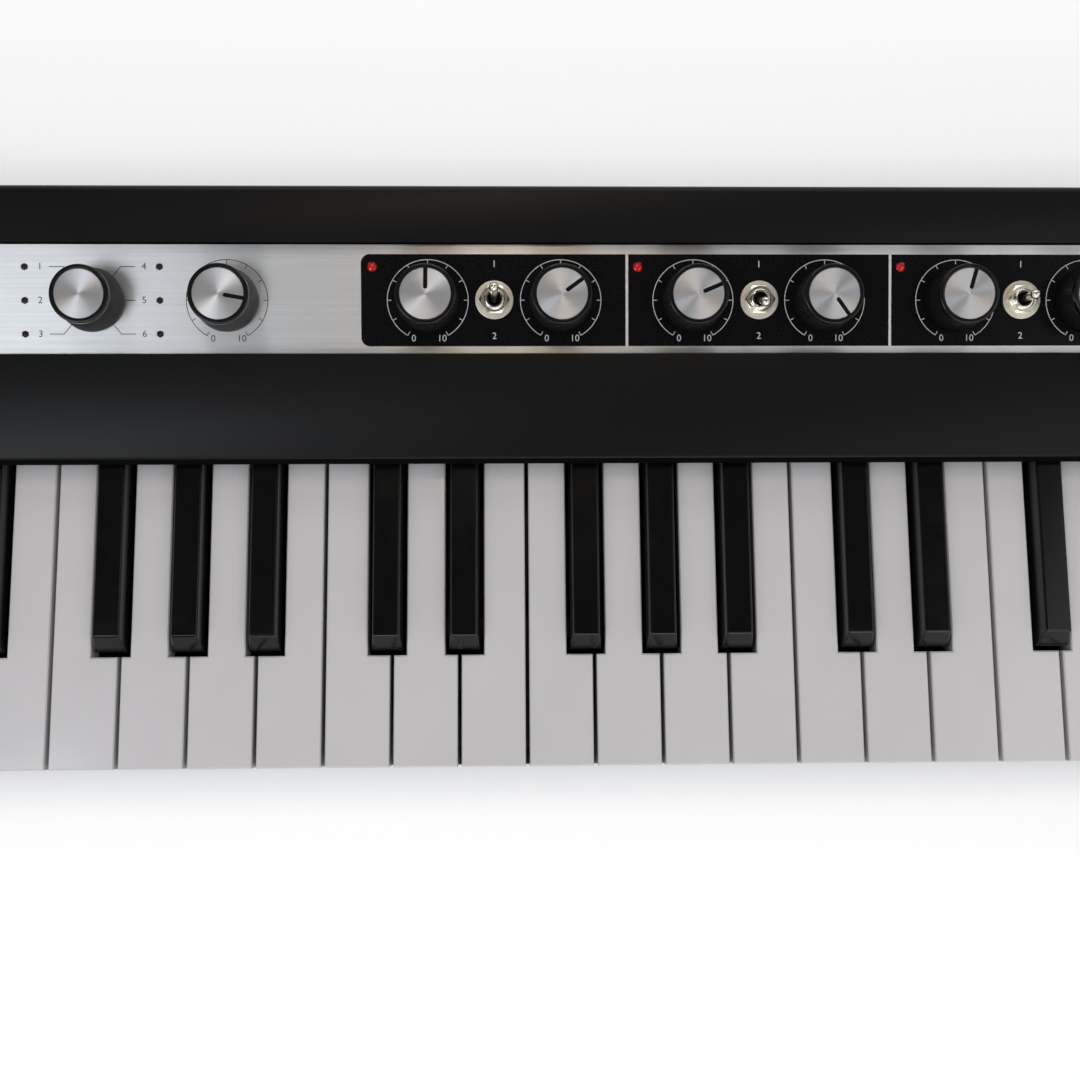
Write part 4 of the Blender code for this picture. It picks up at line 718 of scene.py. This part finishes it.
class KEYBOARD_OT_knobs(Operator):
    """Ribbed knobs with spun metal caps and pointer slots"""

    bl_idname = "keyboard.knobs"
    bl_label = "Knobs"

    def execute(self, context):
        s = context.scene.keyboard_knobs
        for name in KNOBS:
            slim = 0.3 * MM if name == SELECTOR else 0.0  # the selector's top is a little narrower
            base = on_strip(KNOB_X[name], turn=from_middle(name))
            grip = self.grip(s, GRIP_RADIUS - slim)
            finished(name.replace("knob", "grip"), grip, "knob", name, base, (name,), sharp=40)
            cap_radius = s.cap_radius - slim
            rim = self.rim(RIM_RADIUS - slim, cap_radius)
            finished(name.replace("knob", "rim"), rim, "rim", name, base)
            disc = self.cap(cap_radius)
            cap = finished(name.replace("knob", "cap"), disc, "spun", name, base, tidy=False)
            if name != SELECTOR:
                height = Matrix.Translation((0, 0, KNOB_TOP - 0.45 * MM))
                carved(cap, "DIFFERENCE", self.slot(s.slot_width / 2), base @ height)
            soften(cap, 0.1 * MM)
        return {"FINISHED"}

    def grip(self, s, outer):
        """The skirt with its fine ribs, up to the rim."""
        top, foot, hollow = KNOB_TOP - RIM_HEIGHT - 0.05 * MM, 9.75 * MM, 7.8 * MM
        profile = [(0, 1.0 * MM), (hollow, 1.0 * MM), (hollow, 0.02 * MM), (foot - 0.25 * MM, 0.02 * MM)]
        profile += [(foot, 0.3 * MM), (outer + 0.02 * MM, top - 0.2 * MM), (outer - 0.2 * MM, top), (0, top)]
        steps = 2 * s.ribs
        bm = spun(profile, steps)
        turn = math.tau / steps
        for v in bm.verts:
            radius = v.co.xy.length
            column = round(math.atan2(v.co.y, v.co.x) / turn)
            if radius > outer and column % 2:
                v.co.xy *= 1 - s.rib_depth / radius
        return bm

    def rim(self, outer, cap_radius):
        """The smooth rim round the cap, and the dark floor that shows through the pointer slot."""
        top, low, fillet, lip = KNOB_TOP, KNOB_TOP - RIM_HEIGHT, 0.5 * MM, 0.2 * MM
        well, floor = cap_radius + 0.06 * MM, top - 0.95 * MM
        profile = [(0, low), (outer - 0.25 * MM, low), (outer, low + 0.2 * MM)]
        profile += rounding((outer - fillet, top - fillet), fillet, 0, 90, 5)
        profile += rounding((well + lip, top - lip), lip, 90, 180, 3)
        return spun(profile + [(well, floor), (0, floor)], 96)

    def cap(self, radius):
        """A thin turned disc. Its UV map runs round and out, so that the finish follows the lathe."""
        top, thickness = KNOB_TOP - 0.2 * MM, 0.5 * MM
        shares = (0.0, 0.05, 0.2, 0.4, 0.6, 0.8, 0.93, 1.0)
        profile = [(radius * share, top) for share in shares]
        bm = spun(profile + [(radius, top - thickness), (0, top - thickness)], 96)
        bmesh.ops.recalc_face_normals(bm, faces=bm.faces)
        layer = bm.loops.layers.uv.new("turned")
        for face in bm.faces:
            middle = face.calc_center_median()
            base = math.atan2(middle.y, middle.x)
            for loop in face.loops:
                point = loop.vert.co
                angle = math.atan2(point.y, point.x) if point.xy.length > 1e-6 else base
                angle -= round((angle - base) / math.tau) * math.tau
                loop[layer].uv = (angle / math.tau + 0.5, point.xy.length / (10 * MM))
        return bm

    def slot(self, half):
        """The pointer slot: rounded at its inner end, open at the cap's edge."""
        start, end = 1.4 * MM, 9 * MM
        bm = bmesh.new()
        add_post(bm, half, 2.5 * MM, 24)
        for v in bm.verts:
            v.co.y += end if v.co.y > half * 0.05 else start + half
        return bm


class KEYBOARD_OT_switches(Operator):
    """Lever switches with washers, hexagon nuts and threaded bushings, and the octave slide"""

    bl_idname = "keyboard.switches"
    bl_label = "Switches"
    nut_radius = 4.72 * MM

    def execute(self, context):
        for name in LEVERS:
            stem = name.replace("_switch_lever", "")
            base = on_strip(LEVER_X[name], n=FACE)
            finished(stem + "_washer", self.washer(), "washer", place=base)
            nut = finished(stem + "_nut", self.nut(), "nickel", place=base)
            carved(nut, "INTERSECT", self.nut_turning(), base)
            soften(nut, 0.1 * MM)
            finished(stem + "_bushing", self.bushing(), "nickel", place=base, sharp=50)
            # The dark tube in the bore is painted shade, so that the bushing's mouth stays dark
            finished(stem + "_liner", self.shade_liner(), "rim", place=base)
            lean = Matrix.Rotation(STRIP_TILT + from_middle(name), 4, "X")
            pivot = Matrix.Translation(Vector(JOINTS[name]["pos_m"])) @ lean
            finished(stem + "_toggle", self.toggle(), "nickel", name, pivot, (name,))
            # The ball's dark finish is painted shade round the lever's foot in the bushing's mouth
            finished(stem + "_ball", self.shaded_ball(), "rim", name, pivot)
        self.octave()
        return {"FINISHED"}

    def washer(self):
        outer, hole, low, high, r = 5.85 * MM, 3.0 * MM, 0.05 * MM, 0.97 * MM, 0.16 * MM
        profile = [(hole, low), (outer - r, low), (outer, low + r)]
        profile += rounding((outer - r, high - r), r, 0, 90, 4) + [(hole, high), (hole, low)]
        return spun(profile, 64)

    def nut(self):
        """A hexagon bar, corners to the sides of the slope."""
        low, high = 0.95 * MM, 2.55 * MM
        bm = bmesh.new()
        turn = Matrix.Rotation(math.radians(30), 4, "Z")
        add_post(bm, self.nut_radius, high - low, 6, Matrix.Translation((0, 0, (low + high) / 2)) @ turn)
        return bm

    def nut_turning(self):
        """What is left of the bar after the nut's corners are turned off."""
        low, top, hole, r = 0.9 * MM, 2.55 * MM, 3.0 * MM, self.nut_radius
        profile = [(hole, low), (r, low), (r + 0.1 * MM, top - 0.5 * MM), (r - 0.75 * MM, top)]
        return spun(profile + [(hole, top), (hole, low)], 64)

    def bushing(self):
        """A threaded tube whose mouth opens in a cone round the lever."""
        outer, bore, foot, base, top = 3.12 * MM, 2.05 * MM, -1.0 * MM, 0.9 * MM, 3.42 * MM
        root = outer - 0.2 * MM
        profile = [(bore, foot), (outer - 0.25 * MM, foot), (outer - 0.25 * MM, base)]
        z = 2.5 * MM
        while z < top - 0.3 * MM:
            profile += [(root, z), (outer, z + 0.12 * MM)]
            z += 0.24 * MM
        profile += [(root, top - 0.12 * MM), (outer - 0.34 * MM, top)]
        profile += [(bore + 0.35 * MM, top), (bore, top - 0.5 * MM), (bore, foot)]
        return spun(profile, 48)

    def shade_liner(self):
        """A dark tube inside the bushing: painted shade for the deep bore."""
        outer, bore, low, top = 2.04 * MM, 1.9 * MM, -0.9 * MM, 2.86 * MM
        return spun([(bore, low), (outer, low), (outer, top), (bore, top), (bore, low)], 40)

    def shaded_ball(self):
        """The ball that the lever turns on, in a dark finish: painted shade round the lever's foot."""
        radius = 1.7 * MM
        return spun([(0, radius)] + rounding((0, 0), radius, 80, -80, 14) + [(0, -radius)], 40)

    def toggle(self):
        """A rod that widens to its rounded end."""
        tip, length, foot = 1.48 * MM, 11.4 * MM, 1.0 * MM
        profile = [(0, length)] + rounding((0, length - tip), tip, 80, -12, 10)
        profile += [(1.3 * MM, length - 3.6 * MM), (1.02 * MM, 5.2 * MM), (0.98 * MM, 2.4 * MM)]
        return spun(profile + [(0.96 * MM, foot), (0, foot)], 40)

    def octave(self):
        """The slide's grooved cap with its light stripe, and the stem under it."""
        node = "octave_slider"
        low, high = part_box(node)
        place = on_strip((low.x + high.x) / 2)
        pitch, half = 0.85 * MM, 0.2 * MM
        grooves = bmesh.new()
        for number in (-2, -1, 1, 2):
            x = number * pitch
            add_box(grooves, (x - half, -5 * MM, 5.1 * MM), (x + half, 5 * MM, 6 * MM))
        cap = block((-2.5 * MM, -4 * MM, 0.02 * MM), (2.5 * MM, 4 * MM, 5.45 * MM), 0.45 * MM, 3)
        obj = finished("octave_cap", cap, "knob", node, place, (node,))
        carved(obj, "DIFFERENCE", grooves, place)
        soften(obj, 0.06 * MM, angle=40)
        stripe = block((-0.28 * MM, -3.7 * MM, 5.4 * MM), (0.28 * MM, 3.7 * MM, 5.48 * MM), 0.02 * MM, 1)
        finished("octave_stripe", stripe, "light_print", node, place)
        stem = block((-1.5 * MM, -1.1 * MM, -5.8 * MM), (1.5 * MM, 1.1 * MM, 0.4 * MM), 0.1 * MM, 1)
        finished("octave_stem", stem, "knob", node, place)


class KEYBOARD_OT_prints(Operator):
    """Dial arcs with ticks, figures and the selector's leader lines"""

    bl_idname = "keyboard.prints"
    bl_label = "Printed dials"

    def execute(self, context):
        s = context.scene.keyboard_prints
        for name, x in KNOB_X.items():
            if name == SELECTOR:
                self.leaders(s, x, FACE)
            elif x > SECTION_EDGES[0]:
                self.dial(s, name, x, ON_PAINT, "light_print")
            else:
                self.dial(s, name, x, FACE, "dark_print")
        for name, x in LEVER_X.items():
            stem = name.replace("_switch_lever", "")
            for label, v in (("1", 10.9 * MM), ("2", -10.9 * MM)):
                self.figure(s, f"{stem}_figure_{label}", label, x, v, ON_PAINT, "light_print")
        return {"FINISHED"}

    def dial(self, s, name, x, height, finish):
        """An open ring with a tick inward at each tenth of the turn."""
        sweep, ring_steps, tick_length, ticks = 300, 75, 1.3 * MM, 11
        figure_side, figure_v = 4.3 * MM, -11.6 * MM
        bm = bmesh.new()
        start = Matrix.Rotation(math.radians(90 - sweep / 2), 4, "Z")
        radii = (s.dial_radius - s.line / 2, s.dial_radius + s.line / 2)
        verts = [bm.verts.new(start @ Vector((radius, 0, 0))) for radius in radii]
        geometry = [*verts, bm.edges.new(verts)]
        bmesh.ops.spin(bm, geom=geometry, axis=(0, 0, 1), angle=math.radians(sweep), steps=ring_steps)
        out = Matrix.Translation((0, s.dial_radius - tick_length / 2, 0))
        for number in range(ticks):
            turn = math.radians(-sweep / 2 + sweep / (ticks - 1) * number)
            add_rectangle(bm, s.line, tick_length, Matrix.Rotation(-turn, 4, "Z") @ out)
        self.printed(name.replace("knob", "dial"), bm, x, 0, height, finish)
        for label, side in (("0", -1), ("10", 1)):
            stem = name.replace("knob", "figure")
            self.figure(s, f"{stem}_{label}", label, x + side * figure_side, figure_v, height, finish)

    def leaders(self, s, x, height):
        """A kinked line from the selector towards each lamp, and a figure beyond it."""
        end, knee, middle_knee, figure_side = 12.8 * MM, 8.6 * MM, 10.0 * MM, 15.6 * MM
        inner_x, inner_v = 6.4 * MM, 7.5 * MM
        bm = bmesh.new()
        for side in (-1, 1):
            for row in (-1, 0, 1):
                v = row * LAMP_V
                bend = Vector((side * (knee if row else middle_knee), v, 0))
                self.stroke(bm, bend, Vector((side * end, v, 0)), s.line)
                if row:
                    self.stroke(bm, Vector((side * inner_x, row * inner_v, 0)), bend, s.line)
                label = str((1 - row) + (1 if side < 0 else 4))
                self.figure(s, f"type_figure_{label}", label, x + side * figure_side, v, height, "dark_print")
        self.printed("type_leaders", bm, x, 0, height, "dark_print")

    def stroke(self, bm, a, b, width):
        """Adds a line between two points that runs on by nearly half its width at each end."""
        along = b - a
        place = Matrix.Translation((a + b) / 2) @ Matrix.Rotation(math.atan2(along.y, along.x), 4, "Z")
        add_rectangle(bm, along.length + width * 0.9, width, place)

    def printed(self, name, bm, x, v, height, finish):
        """Gives flat faces the thickness of ink and lays them on the strip."""
        bmesh.ops.recalc_face_normals(bm, faces=bm.faces)
        flat = [f for f in bm.faces if f.normal.z < 0]
        bmesh.ops.reverse_faces(bm, faces=flat)
        made = bmesh.ops.extrude_face_region(bm, geom=list(bm.faces), use_keep_orig=True)
        top = [item for item in made["geom"] if isinstance(item, bmesh.types.BMVert)]
        bmesh.ops.translate(bm, vec=(0, 0, 0.025 * MM), verts=top)
        bmesh.ops.recalc_face_normals(bm, faces=bm.faces)
        finished(name, bm, finish, place=on_strip(x, v, height), tidy=False)

    def figure(self, s, name, text, x, v, height, finish):
        """A figure drawn as text, made a mesh and printed."""
        size_of_height = 1.38
        curve = bpy.data.curves.new(name, "FONT")
        curve.body = text
        curve.size = s.figure * size_of_height
        curve.align_x = curve.align_y = "CENTER"
        curve.resolution_u = 4
        curve.fill_mode = "FRONT"
        drawn = shown(name + "_drawn", curve)
        bpy.context.view_layer.update()
        mesh = bpy.data.meshes.new_from_object(drawn.evaluated_get(bpy.context.evaluated_depsgraph_get()))
        bm = bmesh.new()
        bm.from_mesh(mesh)
        bpy.data.objects.remove(drawn)
        bpy.data.meshes.remove(mesh)
        bpy.data.curves.remove(curve)
        bmesh.ops.remove_doubles(bm, verts=bm.verts, dist=1e-7)
        self.printed(name, bm, x, v, height, finish)


class KEYBOARD_OT_lamps(Operator):
    """Red lamps behind the sections and dark lamps round the selector"""

    bl_idname = "keyboard.lamps"
    bl_label = "Lamps"

    def execute(self, context):
        for number, x in enumerate(LAMP_XS, 1):
            place = on_strip(x, LAMP_V, FACE - 0.75 * MM)
            finished(f"lamp_{number}", self.lens(1.48 * MM), "lamp", place=place)
        spots = [(side, row) for side in (-1, 1) for row in (1, 0, -1)]
        for number, (side, row) in enumerate(spots, 1):
            place = on_strip(KNOB_X[SELECTOR] + side * STEP, row * LAMP_V, FACE - 0.2 * MM)
            finished(f"type_lamp_{number}", self.lens(1.0 * MM), "dot", place=place)
        return {"FINISHED"}

    def lens(self, radius):
        """A low dome on a short barrel."""
        rise, skirt, depth = radius * 0.4, -0.05 * MM, -1.0 * MM
        dome = [(radius * math.sin(a), rise * math.cos(a)) for a in (0.3, 0.6, 0.9, 1.2, 1.45)]
        return spun([(0, rise)] + dome + [(radius, skirt), (radius, depth), (0, depth)], 32)


class KEYBOARD_OT_speakers(Operator):
    """Finely perforated grilles over the two speakers"""

    bl_idname = "keyboard.speakers"
    bl_label = "Speaker grilles"

    def execute(self, context):
        for name in SPEAKERS:
            low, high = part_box(name)
            place = on_strip((low.x + high.x) / 2, n=GRILLE_FACE)
            name = name.replace("speaker", "grille")
            obj = finished(name, self.grille(), "grille", place=place)
            carved(obj, "DIFFERENCE", self.holes(), place)
        return {"FINISHED"}

    def grille(self):
        radius, edge, top, under = 13.45 * MM, 0.15 * MM, 0.12 * MM, -0.25 * MM
        profile = [(0, top), (radius - 1.0 * MM, top)] + rounding((radius - edge, top - edge), edge, 80, 0, 3)
        return spun(profile + [(radius, under), (0, under)], 72)

    def holes(self):
        """Round holes on a triangular grid."""
        pitch, reach, hole, row_share = 1.75 * MM, 12.0 * MM, 0.55 * MM, 0.866
        bm = bmesh.new()
        rows = int(reach / (pitch * row_share)) + 1
        for row in range(-rows, rows + 1):
            for column in range(-rows - 1, rows + 2):
                x = (column + (row % 2) / 2) * pitch
                y = row * pitch * row_share
                if math.hypot(x, y) < reach:
                    add_post(bm, hole, 1 * MM, 8, Matrix.Translation((x, y, 0)))
        return bm


class KEYBOARD_OT_rear(Operator):
    """Socket rings at the back, rubber feet, and screws in the base"""

    bl_idname = "keyboard.rear"
    bl_label = "Sockets, feet and screws"

    def execute(self, context):
        for opening in FRAME["record"]["physics"]["openings"]:
            if opening["name"].startswith("jack_socket"):
                low, high = opening["box_m"]
                self.socket(opening["name"], (low[0] + high[0]) / 2, (low[2] + high[2]) / 2)
        for number, mount in enumerate(FRAME["record"]["mounts"], 1):
            x, y, _ = mount["pos_m"]
            finished(f"foot_pad_{number}", self.foot(), "rubber", place=Matrix.Translation((x, y, 0)))
        for number, (x, y) in enumerate(self.posts(), 1):
            self.screw(number, x, y)
        return {"FINISHED"}

    def socket(self, name, x, z):
        """A turned ring round a metal sleeve."""
        outer, bore, inner, inner_mouth = 4.55 * MM, 3.12 * MM, -1.5 * MM, -0.4 * MM
        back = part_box("main_board")[1].y - 0.02 * MM
        turn = Matrix.Translation((x, back, z)) @ Matrix.Rotation(math.radians(-90), 4, "X")
        ring = [(bore, inner), (outer, inner), (outer, -0.35 * MM), (outer - 0.3 * MM, 0)]
        ring += [(bore + 0.45 * MM, 0), (bore, inner_mouth), (bore, inner)]
        finished(name.replace("socket", "ring"), spun(ring, 48), "nickel", place=turn)
        wall, thick, deep, mouth = bore - 0.02 * MM, bore + 0.05 * MM, -12 * MM, -1.15 * MM
        sleeve = [(wall, deep), (thick, deep), (thick, mouth), (wall, mouth), (wall, deep)]
        finished(name.replace("socket", "sleeve"), spun(sleeve, 40), "contact", place=turn)

    def foot(self):
        """A rubber pad with a rounded edge and a hollow in the middle."""
        r, h, edge, hollow = 7.05 * MM, 2.98 * MM, 0.5 * MM, 0.25 * MM
        profile = [(0, h), (r, h), (r, edge)] + rounding((r - edge - 0.35 * MM, edge), edge, 0, -90, 4)
        return spun(profile + [(5.0 * MM, 0.0), (4.8 * MM, hollow), (0, hollow)], 48)

    def posts(self):
        """Where the base's screw posts stand."""
        low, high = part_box("lower_case")
        side, inner, inset = high.x - 13 * MM, 125 * MM, 12 * MM
        front, back = low.y + inset, high.y - inset
        return [(-side, front), (side, front), (-side, back), (side, back), (-inner, back), (inner, back)]

    def screw(self, number, x, y):
        """A pan head with a cross recess, at the bottom of its pocket."""
        r, z, arm, half_slot = 2.4 * MM, 8.9 * MM, 1.3 * MM, 0.25 * MM
        profile = [(0, -1.5 * MM), (1.1 * MM, -1.45 * MM), (2.0 * MM, -1.1 * MM), (r, -0.5 * MM)]
        place = Matrix.Translation((x, y, z))
        head = spun(profile + [(r, 0), (0, 0)], 32)
        obj = finished(f"base_screw_{number}", head, "screw", place=place)
        for half_x, half_y in ((arm, half_slot), (half_slot, arm)):
            bar = block((-half_x, -half_y, -3 * MM), (half_x, half_y, -0.6 * MM))
            carved(obj, "DIFFERENCE", bar, place)


class KEYBOARD_OT_stage(Operator):
    """Pale floor, soft studio light and the camera at the photograph's angle"""

    bl_idname = "keyboard.stage"
    bl_label = "Stage"

    def execute(self, context):
        s = context.scene.keyboard_stage
        self.floor(s)
        self.world(context)
        self.area("overhead", (0.0, 0.0, 1.4), 2.0, 1.6, s.overhead, (1.0, 0.995, 0.995), glossy=False)
        self.area("window", (-0.78, -0.5, 1.15), 0.5, 0.8, s.window, (0.90, 0.955, 1.0))
        self.area("right_soft", (0.85, -0.4, 1.1), 1.3, 0.8, s.fill * 0.55, (1.0, 0.985, 0.97))
        self.area("back_fill", (0.1, 1.4, 1.1), 1.6, 0.7, s.fill * 1.1, (0.98, 0.99, 1.0))
        self.area("front_fill", (0.2, -1.5, 0.9), 1.4, 0.6, s.fill * 1.2, (1.0, 0.99, 0.98))
        self.area("warm_spot", (-0.03, 0.42, 1.2), 0.12, 0.1, s.spot, (1.0, 0.78, 0.55))
        self.camera(context)
        return {"FINISHED"}

    def floor(self, s):
        """A wide pale sheet that glows more with distance, as a studio sweep does."""
        bm = bmesh.new()
        bmesh.ops.create_grid(bm, x_segments=1, y_segments=1, size=6)
        mesh = mesh_of("floor", bm)
        obj = shown("floor", mesh)
        finish = Finish("floor_pale", tuple(s.floor), 0.75, Emission_Color=(1, 1, 1, 1))
        where = finish.place()
        finish.vary_roughness(finish.noise(where, 8, 2), 0.7, 0.8)
        reach = finish.add("ShaderNodeVectorMath", {"operation": "LENGTH"}, Vector=where).outputs["Value"]
        finish.feed(finish.spread(reach, 0.04, 0.62, 0.5, 3.0), "Emission Strength")
        mesh.materials.append(finish.material)

    def world(self, context):
        """Pale towards the horizon and dim overhead, so that the polished tops stay dark."""
        world = bpy.data.worlds.new("studio")
        context.scene.world = world
        world.use_nodes = True
        tree = world.node_tree
        background = tree.nodes["Background"]
        background.inputs["Color"].default_value = (0.96, 0.975, 1.0, 1)
        where = add_node(tree, "ShaderNodeTexCoord").outputs["Generated"]
        up = add_node(tree, "ShaderNodeSeparateXYZ", Vector=where).outputs["Z"]
        ends = {"From_Min": 0.1, "From_Max": 0.55, "To_Min": 0.75, "To_Max": 0.08}
        fade = add_node(tree, "ShaderNodeMapRange", {"interpolation_type": "SMOOTHSTEP"}, Value=up, **ends)
        tree.links.new(fade.outputs["Result"], background.inputs["Strength"])

    def area(self, name, place, width, depth, power, colour, glossy=True):
        """An area light that faces the middle of the keyboard. Where it isn't glossy, it isn't mirrored."""
        middle = Vector((0, 0, 0.03))
        data = bpy.data.lights.new(name, "AREA")
        data.shape = "RECTANGLE"
        data.size = width
        data.size_y = depth
        data.energy = power
        data.color = colour
        obj = shown(name, data)
        obj.location = place
        obj.rotation_euler = (Vector(place) - middle).to_track_quat("Z", "Y").to_euler()
        obj.visible_glossy = glossy

    def camera(self, context):
        """A square picture from nearly straight above, as the photograph is."""
        data = bpy.data.cameras.new("camera")
        data.sensor_width = data.sensor_height = 36
        data.sensor_fit = "HORIZONTAL"
        data.lens = 40.0
        data.clip_start = 0.01
        obj = shown("camera", data)
        obj.location = (-0.0256, -0.0663, 0.4003)
        obj.rotation_euler = [math.radians(angle) for angle in (7.339, -1.329, -0.455)]
        context.scene.camera = obj
        context.scene.view_settings.view_transform = "Standard"


OPERATORS = (
    KEYBOARD_OT_keys,
    KEYBOARD_OT_case,
    KEYBOARD_OT_strip,
    KEYBOARD_OT_knobs,
    KEYBOARD_OT_switches,
    KEYBOARD_OT_prints,
    KEYBOARD_OT_lamps,
    KEYBOARD_OT_speakers,
    KEYBOARD_OT_rear,
    KEYBOARD_OT_stage,
)
GROUPS = {
    "keyboard_knobs": KnobSettings,
    "keyboard_case": CaseSettings,
    "keyboard_keys": KeySettings,
    "keyboard_prints": PrintSettings,
    "keyboard_stage": StageSettings,
}


class KEYBOARD_PT_looks(Panel):
    """Lists the steps that dress the keyboard"""

    bl_idname = "KEYBOARD_PT_looks"
    bl_label = "Mini keyboard"
    bl_space_type = "VIEW_3D"
    bl_region_type = "UI"
    bl_category = "Keyboard"

    def draw(self, context):
        for operator in OPERATORS:
            self.layout.operator(operator.bl_idname)
        for name, group in GROUPS.items():
            box = self.layout.box()
            for setting in group.__annotations__:
                box.prop(getattr(context.scene, name), setting)


def register():
    for cls in (*GROUPS.values(), *OPERATORS, KEYBOARD_PT_looks):
        bpy.utils.register_class(cls)
    for name, group in GROUPS.items():
        setattr(bpy.types.Scene, name, PointerProperty(type=group))


def unregister():
    for name in GROUPS:
        delattr(bpy.types.Scene, name)
    for cls in reversed((*GROUPS.values(), *OPERATORS, KEYBOARD_PT_looks)):
        bpy.utils.unregister_class(cls)


def main():
    register()
    bpy.ops.keyboard.keys()
    bpy.ops.keyboard.case()
    bpy.ops.keyboard.strip()
    bpy.ops.keyboard.knobs()
    bpy.ops.keyboard.switches()
    bpy.ops.keyboard.prints()
    bpy.ops.keyboard.lamps()
    bpy.ops.keyboard.speakers()
    bpy.ops.keyboard.rear()
    bpy.ops.keyboard.stage()


if __name__ == "__main__":
    main()
